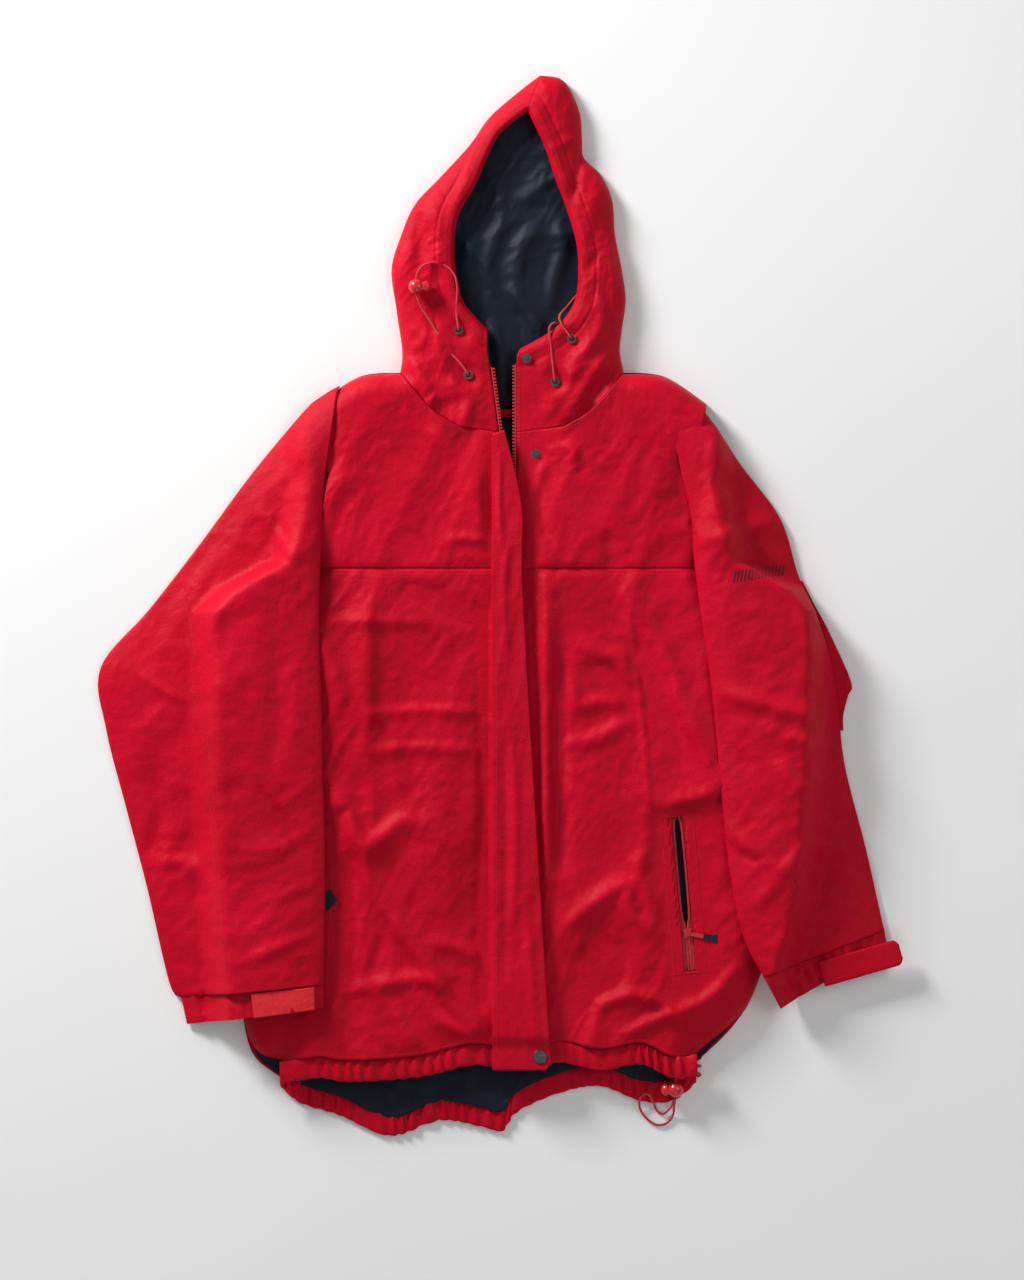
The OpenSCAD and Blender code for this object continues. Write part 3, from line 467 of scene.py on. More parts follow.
def cut_size(grid):
    """The width, length and area of a grid laid out flat: its longest row and column, and all its cells."""
    wide = np.linalg.norm(np.diff(grid, axis=1), axis=2).sum(axis=1).max()
    tall = np.linalg.norm(np.diff(grid, axis=0), axis=2).sum(axis=0).max()
    full = np.zeros((*grid.shape[:2], 3))
    full[..., :grid.shape[2]] = grid
    cross = np.cross(full[1:, 1:] - full[:-1, :-1], full[1:, :-1] - full[:-1, 1:])
    return (float(wide), float(tall)), float(np.linalg.norm(cross, axis=2).sum() / 2)


def declare(piece, cut, less=0.0):
    """Prints the flat size of a sheet, measured on its own pattern grid."""
    (wide, tall), area = cut_size(cut)
    area = min(area - less, wide * tall)
    print(f"{piece.name}: cut {wide:.3f} x {tall:.3f} m, {area:.4f} m2")


def raised(xy, z):
    return np.concatenate([xy, z[..., None]], axis=-1)


# %% [markdown]
# ## Cords
# The three free cords come first: a loop on each side of the hood, and one at the hem.
# Each follows the same route as its packed tube, out of one eyelet and back into the other.

# %% Routes of the cords, in millimetres
right_hood_route = [
    (-55, 283, 18.5), (-55, 283, 22.8), (-55, 284, 25.4), (-55.5, 289, 25.8), (-56.5, 295, 25),
    (-57, 305, 24.6), (-56, 325, 24.6), (-59, 339, 24.6), (-67, 348, 24.6), (-78, 352, 25.2),
    (-90, 349, 28.4), (-97, 340, 31), (-98, 327, 31.2), (-96.5, 315, 30.6), (-91, 303, 27),
    (-80, 286, 24.7), (-67, 264, 24.6), (-55, 251, 24.8), (-48, 242, 25.8), (-45.5, 238, 25.4),
    (-45, 237, 22.8), (-45, 237, 18.5)]
left_hood_route = [
    (61, 274, 18.5), (61, 274, 22.8), (60, 275.5, 25.4), (57, 279.5, 25.8), (53.5, 284.5, 25.2),
    (50.5, 290, 24.8), (48.5, 294.5, 21.5), (50, 300, 15), (57, 308, 10), (70, 321.6, 12.6),
    (84, 322, 13.4), (98, 321.4, 11.8), (100, 306, 7.5), (90, 296, 6), (70, 291, 6), (54, 289, 8),
    (44, 290.5, 16), (39.5, 287.5, 21.5), (38, 282, 25), (39, 274, 24.8), (41, 256, 24.6),
    (42.5, 241, 25.2), (43.5, 233, 25.8), (44, 230.5, 25.2), (44, 230, 22.8), (44, 230, 18.5)]
hem_route = [
    (191.3, -474, 2.3), (194, -473.5, 4.5), (191, -472, 8.5), (181, -472, 12.5), (172, -477, 14.2),
    (168, -486, 14.3), (168, -497, 14.3), (167.5, -506, 13.2), (166.5, -515, 8.4), (166, -523, 3),
    (160, -532, 1.5), (149, -534, 1.5), (138, -527, 1.5), (132, -518, 3), (131, -509.5, 6.4),
    (135, -503, 6.6), (141, -503, 6.6), (145, -510, 6), (149, -519, 2.2), (155, -523, 1.6),
    (160.5, -519, 4.4), (165, -512, 9.4), (167.7, -505.5, 11.4), (168, -497, 11.5), (168.2, -488, 11.4),
    (174, -480, 9.4), (184, -478.5, 6.6), (191, -480, 6.4), (194, -482.5, 4.2), (191.3, -484, 2.3)]
CORD_RADIUS = 0.0012
CORD_SIDES = 12

# %% [markdown]
# Each cord is a braided tube of one fixed length. Its UV map runs round and along it, so that the plait of
# the braid follows every bend.

# %% Cords as tubes with a UV map round and along them
def cord(name, route, replaced):
    path = spread(rounded(mm(route), 6), 180)
    heading = np.gradient(path, axis=0)
    heading /= np.linalg.norm(heading, axis=1)[:, None]
    side = np.cross(heading[0], (0, 1, 0))
    rings = []
    for point, ahead in zip(path, heading):
        side = side - ahead * (side @ ahead)
        side /= np.linalg.norm(side)
        up = np.cross(ahead, side)
        turn = np.linspace(0, 2 * math.pi, CORD_SIDES, endpoint=False)
        rings.append(point + CORD_RADIUS * (np.cos(turn)[:, None] * side + np.sin(turn)[:, None] * up))
    piece = cloth(name, np.array(rings), 0, cord_red, "torso", [replaced], loop=True)
    return piece


cord("right_hood_drawcord", right_hood_route, "right_hood_cord")
cord("left_hood_drawcord", left_hood_route, "left_hood_cord")
cord("hem_drawcord", hem_route, "hem_cord")

# %% [markdown]
# ## Pattern lines
# These are the edges of the pattern pieces as the jacket lies, in millimetres from its middle.
# Where the right half mirrors the left, one line serves both.

# %% Edges of the body
neck = line((54, 184), (84, 203), (115, 240))
shoulder = line((115, 240), (157, 236), (200, 208))
armhole = line((200, 208), (190, 130), (207, 38))
underarm = line((207, 38), (235, -2), (290, -20))
right_side = mirror(line((290, -20), (290, -200), (275, -430), (238, -468)))
left_side = line((290, -20), (286, -160), (276, -303), (252, -390), (230, -426), (190, -460))
right_hem = line((-238, -468), (-198, -462), (-167, -466), (-95, -461), (-43, -449), (-14, -452), (-5, -452))
left_hem = line((5, -452), (29, -454), (49, -446), (91, -454), (132, -448), (164, -462), (190, -460))
back_hem = line((-238, -472), (-218, -489), (-177, -502), (-126, -523), (-74, -507), (-30, -514), (-10, -518),
                (6, -498), (49, -479), (91, -472), (132, -487), (165, -487), (190, -468))
back_neck = line((-115, 240), (-60, 216), (0, 207), (60, 216), (115, 240))
left_rim = np.vstack([underarm, left_side])
right_rim = np.vstack([mirror(underarm), right_side])

# %% [markdown]
# The hood is two side panels round an opening. Its outline leans to one side, as a soft hood does when it is
# laid down.

# %% Edges of the hood
hood_right = line((-115, 240), (-113, 262), (-119, 305), (-124, 346), (-115, 379), (-100, 413), (-74, 441),
                  (-43, 475), (-23, 503), (8, 530), (29, 546))
hood_left = line((115, 240), (111, 262), (113, 284), (117, 315), (113, 346), (106, 382), (103, 418),
                 (91, 444), (74, 461), (72, 480), (70, 506), (60, 531), (49, 543), (29, 546))
face_right = line((-25, 284), (-38, 297), (-51, 315), (-58, 346), (-59, 377), (-54, 403), (-38, 431),
                  (-26, 459), (-12, 485), (16, 508))
face_left = line((8, 264), (34, 278), (52, 293), (65, 315), (68, 348), (65, 377), (55, 410), (44, 439),
                 (34, 470), (16, 508))
hood_rim = np.vstack([hood_right, flip(hood_left)])

# %% [markdown]
# ## Height of the front
# The front rests on the back and its lining, and closes down to the back along the sides and shoulders.
# It is pulled flat where snaps, eyelets and pocket zips are sewn in.

# %% Folds of the front
FRONT_TOP = 0.0238
FRONT_LOWEST = 0.0222
RIM_HEIGHT = 0.0026
FRONT_FOLD_DEPTH = 1.8
right_front_folds = [
    (1.5, 6, 8, [(-198, -17), (-150, -15), (-94, -17)]),
    (1.8, 5, 8, [(-144, -110), (-80, -106), (-15, -110)]),
    (1.8, 5, 8, [(-143, -148), (-90, -144), (-28, -148)]),
    (2.4, 9, 12, [(-148, 3), (-147, -70), (-148, -155)]),
    (3, 10, 14, [(-198, -30), (-184, -62), (-171, -105)]),
    (4.2, 9, 15, [(-191, -169), (-170, -212), (-150, -244), (-113, -220), (-97, -222)]),
    (4.5, 14, 9, [(-153, -271), (-120, -324), (-86, -369), (-63, -409), (-35, -433)]),
    (3, 8, 10, [(-73, -345), (-45, -355), (-26, -376)]),
    (3, 8, 9, [(-167, -395), (-97, -382), (-69, -392)]),
    (3, 7, 9, [(-120, -413), (-110, -433), (-97, -453)]),
    (3, 7, 9, [(-97, -395), (-73, -426), (-42, -440)]),
    (-3, 12, 14, [(-167, -250), (-170, -340), (-160, -425)]),
    (3, 34, 34, [(-75, -100), (-72, -210), (-80, -320)]),
    (-4.5, 8, 9, [(-25, -10), (-26, -200), (-28, -410)]),
    (-2, 14, 12, [(-117, 20), (-84, 6), (-49, -10)]),
]
left_front_folds = [
    (1.2, 3, 4, [(119, 3), (132, -95), (138, -169), (142, -203)]),
    (3.2, 8, 10, [(76, -37), (93, -50), (110, -54), (130, -88)]),
    (-3, 9, 9, [(84, -62), (104, -76), (122, -104)]),
    (4.2, 16, 9, [(119, 13), (147, -40), (171, -95), (208, -169), (218, -185)]),
    (-3.5, 16, 16, [(140, -70), (160, -120), (176, -170)]),
    (3, 9, 9, [(143, -213), (177, -203), (218, -185)]),
    (3.2, 9, 9, [(35, 25), (36, -140), (34, -300)]),
    (-3.6, 8, 9, [(50, -51), (48, -160), (52, -268)]),
    (2.6, 7, 9, [(63, -81), (69, -101), (90, -98), (130, -98)]),
    (2.6, 8, 9, [(55, -142), (87, -135), (119, -118)]),
    (3.6, 10, 9, [(59, -324), (86, -304), (113, -287), (124, -317), (147, -335)]),
    (-3.6, 22, 22, [(96, -345), (100, -375), (98, -405)]),
    (3.4, 7, 8, [(82, -443), (93, -409), (119, -399), (153, -406), (167, -422)]),
    (3.6, 7, 9, [(113, -440), (134, -430), (161, -419), (201, -402), (228, -372)]),
    (2.8, 8, 8, [(134, -250), (130, -277), (150, -317)]),
]
yoke_folds = [
    (3, 16, 10, [(-76, 175), (-52, 143), (-36, 106), (-28, 76)]),
    (1.6, 5, 6, [(-64, 68), (-46, 70), (-28, 66)]),
    (2.2, 5, 6, [(9, 106), (21, 116), (27, 132), (31, 147)]),
    (-2.4, 6, 7, [(26, 116), (29, 86), (39, 68)]),
    (1.8, 4, 5, [(11, 68), (21, 72), (25, 80)]),
    (-2.5, 10, 10, [(99, 72), (103, 46), (111, 37)]),
    (2, 5, 6, [(51, 167), (63, 159), (65, 147)]),
    (3, 9, 12, [(91, 231), (71, 209), (51, 183)]),
    (-4, 10, 12, [(180, 160), (180, 130), (186, 90)]),
    (-4, 12, 10, [(-188, 205), (-196, 180), (-192, 130)]),
]

# %% [markdown]
# Cloth folds only where it is free. Snaps, eyelets, the pocket welts and the zip hold it flat.

# %% Places where the front is held flat
pockets = {"right": (-203, -300, -3), "left": (176, -296, 5)}
snap_places = [(15, 254), (24, 156), (29, -462)]
eyelet_places = [(-55, 283), (-45, 237), (61, 274), (44, 230)]


def pocket_space(xy, side):
    """The points of a grid as seen from a pocket zip: across it and along it."""
    x, y, lean = pockets[side]
    c, s = math.cos(math.radians(lean)), math.sin(math.radians(lean))
    off = xy - mm((x, y))
    return off[..., 0] * c + off[..., 1] * s, off[..., 1] * c - off[..., 0] * s


def held_flat(xy):
    """0 where something is sewn in, and 1 where the cloth is free to fold."""
    free = np.ones(xy.shape[:-1])
    for place in mm(snap_places + eyelet_places):
        free = free * ease((np.linalg.norm(xy - place, axis=-1) - 0.006) / 0.012)
    for side in pockets:
        across, along = pocket_space(xy, side)
        out = np.maximum(np.abs(across) - 0.019, np.abs(along) - 0.083)
        free = free * (0.12 + 0.88 * ease((out + 0.002) / 0.02))
    free = free * (0.3 + 0.7 * ease((np.abs(xy[..., 0]) - 0.022) / 0.014))
    return free * (0.25 + 0.75 * ease((np.abs(xy[..., 0]) - 0.008) / 0.012))


def front_folds(xy):
    lift = drawn_folds(xy, right_front_folds + left_front_folds + yoke_folds)
    seam = np.exp(-((xy[..., 1] - 0.037) / 0.004) ** 2)
    soft = crumple(xy, 0.070, 3, 80, 2.0, 2) * 0.0064
    small = crumple(xy, 0.024, 21, 60, 1.4, 3) * 0.0019
    return (lift * FRONT_FOLD_DEPTH + soft + small) * (1 - 0.7 * seam) - seam * 0.0009


def rounded_rise(share):
    """A quarter circle, from 0 at the edge to 1 where the share reaches 1."""
    return np.sqrt(1 - (1 - np.clip(share, 0, 1)) ** 2)


def front_height(xy):
    """The top of the front, in metres, at each point of a grid in plan."""
    side = np.minimum(distance(xy, left_rim), distance(xy, right_rim))
    top = np.minimum(distance(xy, shoulder), distance(xy, mirror(shoulder)))
    closing = rounded_rise(side / 0.040) * rounded_rise(top / 0.022)
    lift = front_folds(xy) * held_flat(xy) * closing
    inside = RIM_HEIGHT + (FRONT_LOWEST - RIM_HEIGHT) * closing
    return np.maximum(RIM_HEIGHT + (FRONT_TOP - RIM_HEIGHT) * closing + lift, inside)


# %% [markdown]
# ## The fronts and yokes
# Each front runs from its side seam to the zip. The pocket slots are cut out of the grid, and the welt
# that is sewn round each slot covers the cut.

# %% Fronts
SHELL_THICKNESS = 0.0016
LINING_THICKNESS = 0.0006
FRONT_SLOT = (0.008, 0.080)
WELT_SLOT = (0.0058, 0.0785)


def slot_through(side, half_wide, half_long):
    """Tells which points of a grid lie in the slot behind a pocket zip."""
    def cut(xy):
        across, along = pocket_space(xy, side)
        return (np.abs(across) < half_wide) & (np.abs(along) < half_long)
    return cut


def front_piece(name, edges, size, node, hole=None):
    plan = stretched(*edges, *size)
    piece = cloth(name, raised(plan, front_height(plan)), SHELL_THICKNESS, shell_red, "torso",
                  [node], hole=hole)
    declare(piece, plan)
    return piece


SEAM_Y = 38
right_front = front_piece(
    "right_front", (right_hem, line((-207, SEAM_Y), (-5, SEAM_Y)), flip(right_rim),
                    line((-5, -452), (-5, SEAM_Y))),
    (110, 190), "right_front_panel", slot_through("right", *FRONT_SLOT))
left_front = front_piece(
    "left_front", (left_hem, line((5, SEAM_Y), (207, SEAM_Y)), line((5, -452), (5, SEAM_Y)), flip(left_rim)),
    (110, 190), "left_front_panel", slot_through("left", *FRONT_SLOT))

# %% [markdown]
# The yoke is the panel over the shoulders, sewn to the front along a straight seam. It is made by the same
# function as the front.

# %% Yokes
right_yoke = front_piece(
    "right_yoke_cloth", (line((-207, SEAM_Y), (-5, SEAM_Y)),
                         np.vstack([mirror(flip(shoulder)), mirror(flip(neck)), mm([(-14, 178)])]),
                         mirror(flip(armhole)), line((-5, SEAM_Y), (-5, 110), (-14, 178))),
    (90, 70), "right_yoke")
left_yoke = front_piece(
    "left_yoke_cloth", (line((5, SEAM_Y), (207, SEAM_Y)),
                        np.vstack([mm([(5, 178)]), neck, shoulder]),
                        line((5, SEAM_Y), (5, 178)), flip(armhole)), (90, 70), "left_yoke")

# %% [markdown]
# ## The back
# The back lies on the surface, so its underside is nearly flat. It comes out to meet the fronts all round.

# %% Back and linings
def back_height(xy):
    return 0.0021 + 0 * xy[..., 0]


def body_plan(wide, tall, hem):
    top = np.vstack([mirror(flip(shoulder)), back_neck, shoulder])
    left = np.vstack([mirror(armhole), mirror(underarm), right_side])
    right = np.vstack([armhole, underarm, left_side])
    return stretched(hem, top, flip(left), flip(right), wide, tall)


def tucked(plan):
    """The lower edge goes 8 mm down into the hem band."""
    return plan - np.stack([0 * plan[..., 0], 0.008 * ease((-0.40 - plan[..., 1]) / 0.06)], axis=-1)


plan = tucked(body_plan(120, 150, back_hem))
back = cloth("back", raised(plan, back_height(plan)), 0.0018, shell_red, "torso", ["back_panel"])
declare(back, plan)


def lining_height(xy):
    swell = crumple(xy, 0.040, 61, 20, 1.6, 3) * 0.0042 + crumple(xy, 0.016, 67, 70, 1.2, 2) * 0.0010
    inside = ease((0.270 - np.abs(xy[..., 0])) / 0.03)
    return 0.0052 + np.clip(swell, -0.0016, 0.006) * inside


plan = tucked(body_plan(170, 190, back_hem))
narrowed = plan * np.array([0.985, 1])
lining = cloth("back_lining_cloth", raised(narrowed, lining_height(plan)), LINING_THICKNESS, lining_navy,
               "torso", ["back_lining"])
declare(lining, plan)


def front_lining(name, edges, node):
    plan = stretched(*edges, 70, 130)
    middle = plan.reshape(-1, 2).mean(axis=0)
    plan = middle + (plan - middle) * np.array([0.975, 0.99])
    lift = 0.0128 + crumple(plan, 0.05, 71, 80, 1.6, 2) * 0.0012
    lift = np.clip(lift, 0.0085, np.maximum(front_height(plan) - 0.0030, 0.0085))
    piece = cloth(name, raised(plan, lift), LINING_THICKNESS, lining_navy, "torso", [node])
    declare(piece, plan)


right_front_edge = line((-14, -452), (-14, 60), (-54, 184))
left_front_edge = line((14, -452), (14, 60), (54, 184))
front_lining("right_front_lining_cloth", (
    right_hem, np.vstack([mirror(flip(shoulder)), mirror(flip(neck))]),
    flip(np.vstack([mirror(armhole), mirror(underarm), right_side])), right_front_edge), "right_front_lining")
front_lining("left_front_lining_cloth", (
    left_hem, np.vstack([neck, shoulder]), left_front_edge,
    flip(np.vstack([armhole, underarm, left_side]))), "left_front_lining")

# %% [markdown]
# ## The hood
# The hood lies open to the front. Its edge is turned under for a drawcord, so the cloth rolls over there.

# %% Height and folds of the hood
hood_folds = [
    (3, 9, 10, [(-106, 394), (-111, 373), (-117, 352)]),
    (-3, 7, 8, [(-98, 399), (-95, 373), (-94, 344)]),
    (3, 8, 9, [(-77, 407), (-74, 383), (-75, 360), (-81, 352)]),
    (-2.6, 6, 7, [(-94, 317), (-85, 299), (-81, 278)]),
    (2.4, 5, 6, [(-87, 286), (-92, 270), (-103, 262)]),
    (4, 6, 9, [(-115, 252), (-103, 249), (-92, 233), (-83, 217)]),
    (2.4, 6, 7, [(-50, 228), (-45, 207), (-48, 189)]),
    (3, 8, 8, [(-81, 283), (-69, 252), (-58, 223)]),
    (1.6, 4, 5, [(35, 466), (50, 473), (68, 481)]),
    (-4.5, 6, 7, [(71, 457), (60, 415), (59, 394)]),
    (-2.4, 6, 6, [(92, 362), (76, 344), (68, 328)]),
    (2.6, 6, 7, [(89, 320), (94, 299), (89, 278), (73, 257)]),
    (-4, 7, 8, [(110, 249), (89, 223), (79, 202)]),
    (3.6, 7, 8, [(94, 252), (73, 223), (58, 199)]),
    (2.8, 9, 10, [(87, 286), (58, 233), (34, 194)]),
    (1.2, 3, 3, [(92, 394), (101, 373), (104, 336), (105, 296)]),
]
HOOD_TOP = 0.0222
HOOD_FOLD_DEPTH = 1.2


def hood_height(xy, folds=hood_folds):
    rim = distance(xy, hood_rim)
    closing = rounded_rise(rim / 0.036)
    edge = np.minimum(distance(xy, face_right), distance(xy, face_left))
    lift = drawn_folds(xy, folds) + crumple(xy, 0.045, 33, 70, 1.5, 2) * 0.0042
    lift = lift * HOOD_FOLD_DEPTH + crumple(xy, 0.019, 37, 30, 1.2, 3) * 0.0017
    lift = lift * (0.35 + 0.65 * ease(edge / 0.02))
    roll = 0.0016 * np.exp(-((edge - 0.008) / 0.006) ** 2) - 0.004 * np.exp(-(edge / 0.0022) ** 2)
    channel = -0.0008 * np.exp(-((edge - 0.019) / 0.0016) ** 2)
    return RIM_HEIGHT + (HOOD_TOP - RIM_HEIGHT) * closing + lift * held_flat(xy) * closing + roll + channel

# %% [markdown]
# The side panels rise from the hood's edge and roll over at the opening, and the lining sits deep inside
# with loose satin folds.

# %% Hood panels, back and lining
right_opening = np.vstack([line((-14, 178), (-25, 260)), face_right])
left_opening = np.vstack([line((5, 178), (5, 256)), face_left])

def hood_side(side, edges):
    plan = stretched(*edges, 76, 190)
    piece = cloth(f"hood_{side}_cloth", raised(plan, hood_height(plan)), SHELL_THICKNESS, shell_red, "torso",
                  [f"hood_{side}_panel"])
    declare(piece, plan)
    return piece


hood_right_cloth = hood_side("right", (np.vstack([mirror(flip(neck)), mm([(-14, 178)])]),
                                       line((29, 546), (16, 508)), hood_right, right_opening))
hood_left_cloth = hood_side("left", (np.vstack([mm([(5, 178)]), neck]), line((16, 508), (29, 546)),
                                     left_opening, hood_left))

hood_sides = (back_neck, line((29, 546), (30, 546.5)), hood_right, hood_left)
plan = stretched(*hood_sides, 80, 110)
hood_back = cloth("hood_back_cloth", raised(plan, back_height(plan)), 0.0018, shell_red, "torso",
                  ["hood_back_panel"])
declare(hood_back, plan)


hood_lining_folds = [
    (5, 7, 8, [(-13, 431), (-11, 394), (-24, 357), (-21, 325)]),
    (6, 9, 9, [(26, 391), (10, 368), (5, 344), (10, 310)]),
    (5, 7, 8, [(0, 325), (18, 299), (31, 283)]),
    (4, 7, 7, [(-50, 373), (-37, 362), (-24, 346)]),
    (5, 7, 8, [(47, 394), (52, 368), (44, 336), (42, 315)]),
    (5, 8, 8, [(-21, 289), (-13, 260), (-11, 223)]),
]


def hood_lining_height(xy):
    rim = distance(xy, hood_rim)
    deep = ease(rim / 0.035)
    lift = drawn_folds(xy, hood_lining_folds) + crumple(xy, 0.034, 43, 75, 1.7, 3) * 0.0050
    return 0.0052 + np.clip(lift, -0.0018, 0.011) * deep


plan = stretched(*hood_sides, 110, 160)
shrunk = (plan - mm((0, 370))) * 0.965 + mm((0, 366))
hood_lining = cloth("hood_lining_cloth", raised(shrunk, hood_lining_height(shrunk)), LINING_THICKNESS,
                    lining_navy, "torso", ["hood_lining"])
declare(hood_lining, shrunk)

# %% [markdown]
# ## The sleeves
# Each sleeve is a flat tube that lies half on the body and half beside it. It drops from the one level to the
# other over the body's edge, so its height at a point depends on how wide the body is there.

# %% Where a sleeve lies
right_outer = line((-177, 233), (-206, 208), (-264, 140), (-321, 63), (-373, -4), (-423, -64), (-417, -128),
                   (-396, -210), (-375, -290), (-352, -388), (-340, -402))
right_inner = line((-193, 130), (-195, 98), (-196, 55), (-198, 0), (-197, -60), (-195, -110), (-194, -170),
                   (-192, -235), (-192, -300), (-193, -370), (-193, -388))
left_outer = line((150, 233), (191, 207), (235, 145), (276, 89), (294, 32), (312, -10), (330, -65),
                  (336, -115), (343, -169), (364, -251), (379, -318), (383, -334))
left_inner = line((174, 138), (184, 92), (186, 56), (190, 20), (197, -30), (203, -70), (208, -115),
                  (212, -160), (216, -205), (222, -262), (236, -335), (258, -380))
right_support = mm([(-500, 276), (-430, 276), (-200, 291), (-6, 293), (16, 270), (46, 215), (130, 191),
                    (200, 202)])
left_support = mm([(-500, 252), (-390, 254), (-303, 277), (-160, 290), (-6, 293), (16, 270), (46, 215),
                   (130, 191), (200, 202)])
SLEEVE_LOW = 0.0006
SLEEVE_RISE = 0.030
SLEEVE_CLOTH = 0.0022
SHOULDER_SHARE = 0.24
SHOULDER_LOW = 0.003
SHOULDER_RISE = 0.0215
HEAD_FULLNESS = 0.12
SLEEVE_FOLD_DEPTH = 1.3
SHOULDER_LINE = mm([(115, 243), (157, 237), (172, 228), (186, 221), (206, 208), (240, 172),
                    (300, 400)])


def lie(xy, support):
    """The height of a sleeve's underside."""
    edge = np.interp(xy[..., 1], support[:, 0], support[:, 1])
    return SLEEVE_LOW + SLEEVE_RISE * ease((edge + 0.040 - np.abs(xy[..., 0])) / 0.034)

# %% [markdown]
# The folds of a sleeve gather at the elbow and above the cuff. Each is a ridge or a dip along a drawn
# line, with finer crinkle added over it.

# %% Folds of the sleeves
right_sleeve_folds = [
    (2, 5, 6, [(-257, 98), (-239, 71), (-221, 44)]),
    (1.6, 4, 5, [(-288, 4), (-306, -18), (-315, -40)]),
    (-2.4, 12, 16, [(-212, 187), (-266, 125), (-329, 40), (-400, -49)]),
    (-3, 9, 10, [(-365, -174), (-362, -214), (-374, -255)]),
    (1.8, 4, 5, [(-387, -130), (-369, -116), (-347, -90)]),
    (1.8, 4, 5, [(-378, -72), (-360, -85), (-338, -98)]),
    (-2.6, 6, 7, [(-248, -197), (-230, -219), (-212, -255)]),
    (2, 5, 6, [(-244, -205), (-221, -192), (-199, -174)]),
    (3, 8, 9, [(-378, -268), (-338, -263), (-311, -281)]),
    (2, 6, 6, [(-279, -366), (-248, -353), (-203, -335)]),
    (-2.4, 16, 14, [(-235, 4), (-239, -58), (-244, -125), (-248, -170)]),
]
left_sleeve_folds = [
    (4, 9, 10, [(189, 69), (220, 73), (260, 87), (287, 76)]),
    (-3, 9, 9, [(198, 172), (194, 118), (189, 82)]),
    (4.2, 8, 10, [(207, -88), (243, -95), (278, -106), (327, -115)]),
    (-3.4, 9, 9, [(214, -106), (218, -137), (238, -164)]),
    (2.8, 7, 8, [(260, -124), (287, -137), (327, -137), (345, -177)]),
    (2.8, 7, 8, [(274, -164), (296, -186), (318, -177)]),
    (4.6, 8, 9, [(211, -222), (238, -244), (269, -267)]),
    (-3, 7, 7, [(216, -240), (243, -258), (265, -256)]),
    (3, 8, 9, [(252, -303), (274, -276), (309, -244), (363, -262)]),
    (3, 7, 8, [(292, 2), (305, -34), (318, -70), (327, -101)]),
    (2.6, 7, 8, [(220, -338), (247, -365), (278, -383)]),
    (2.6, 9, 10, [(198, 172), (234, 136), (265, 100)]),
]


def tube(rows_outer, rows_inner, support, gap, tall, folds, seed, across=64, gathers=0.0):
    """A flattened tube: over the top from the outer edge to the inner one, and back underneath."""
    a, b = spread(rows_outer, tall)[:, None], spread(rows_inner, tall)[:, None]
    over = (1 - np.cos(np.linspace(0, np.pi, across))) / 2
    u = np.concatenate([over, over[-2:0:-1]])
    top = np.concatenate([np.ones(across), np.zeros(across - 2)])
    xy = a + (b - a) * u[None, :, None]
    above = np.interp(np.abs(xy[..., 0]), SHOULDER_LINE[:, 0], SHOULDER_LINE[:, 1])
    xy[..., 1] = np.minimum(xy[..., 1], above)
    full = np.sin(np.pi * u).clip(0) ** 0.6
    middle = lie(xy, support) + SLEEVE_CLOTH
    if folds:
        settle = ease(np.linspace(0, 1, tall)[:, None] / SHOULDER_SHARE)
        shoulder_height = SHOULDER_LOW + SHOULDER_RISE * rounded_rise(u[None] / 0.5)
        middle = shoulder_height + (middle - shoulder_height) * settle
        full = full[None] * (HEAD_FULLNESS + (1 - HEAD_FULLNESS) * settle)
    lift = drawn_folds(xy, folds) * SLEEVE_FOLD_DEPTH + crumple(xy, 0.046, seed, 55, 1.6, 3) * 0.0034
    lift = lift + crumple(xy, 0.017, seed + 5, 20, 1.3, 2) * 0.0012
    ridges = np.sin(2 * np.pi * u * 11 + 2.4 * lattice_noise(u * 6, u * 0, seed))
    lift = lift + gathers * ridges * (0.6 + 0.4 * top)
    upper = middle + full * (gap + SLEEVE_CLOTH) + lift * np.minimum(1, full * 1.3)
    lower = middle - full * SLEEVE_CLOTH * 0.9
    z = np.where(top > 0, upper, lower)
    return np.concatenate([xy, z[..., None]], axis=-1), np.concatenate([xy, middle[..., None]], axis=-1)


sleeves = {}
for side, outer, inner, support, folds, seed in (
        ("right", right_outer, right_inner, right_support, right_sleeve_folds, 81),
        ("left", left_outer, left_inner, left_support, left_sleeve_folds, 91)):
    grid, flat_tube = tube(outer, inner, support, 0.010, 210, folds, seed)
    if side == "right":
        grid, flat_tube = grid[:, ::-1], flat_tube[:, ::-1]
    sleeve = cloth(side + "_sleeve_cloth", grid[:, ::-1], 0.0006, shell_red, None,
                   [side + "_sleeve_top", side + "_sleeve_under"], loop=True)
    declare(sleeve, flat_tube)
    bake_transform(sleeve)
    sleeves[side] = sleeve

# %% [markdown]
# At the left elbow the underside of the sleeve is pushed out in a fold, which shows past the edge.

# %% Fold at the left elbow
bulge = line((299, 26), (310, 4), (326, -26), (349, -78), (346, -92), (341, -112), (341, -128))
plan = stretched(line((296, 26), (299, 26)), line((334, -128), (341, -128)),
                 line((296, 26), (312, -10), (328, -65), (334, -128)), bulge, 14, 60)
turned_over = plan[::-1]
height = 0.0026 + crumple(turned_over, 0.02, 97) * 0.0008
elbow = cloth("left_elbow_fold", raised(turned_over, height), 0.0014, shell_red, "left_sleeve")
declare(elbow, plan)

# %% [markdown]
# ## Cuffs
# A cuff is gathered on elastic, so its cloth stands in small ridges that run along the arm.

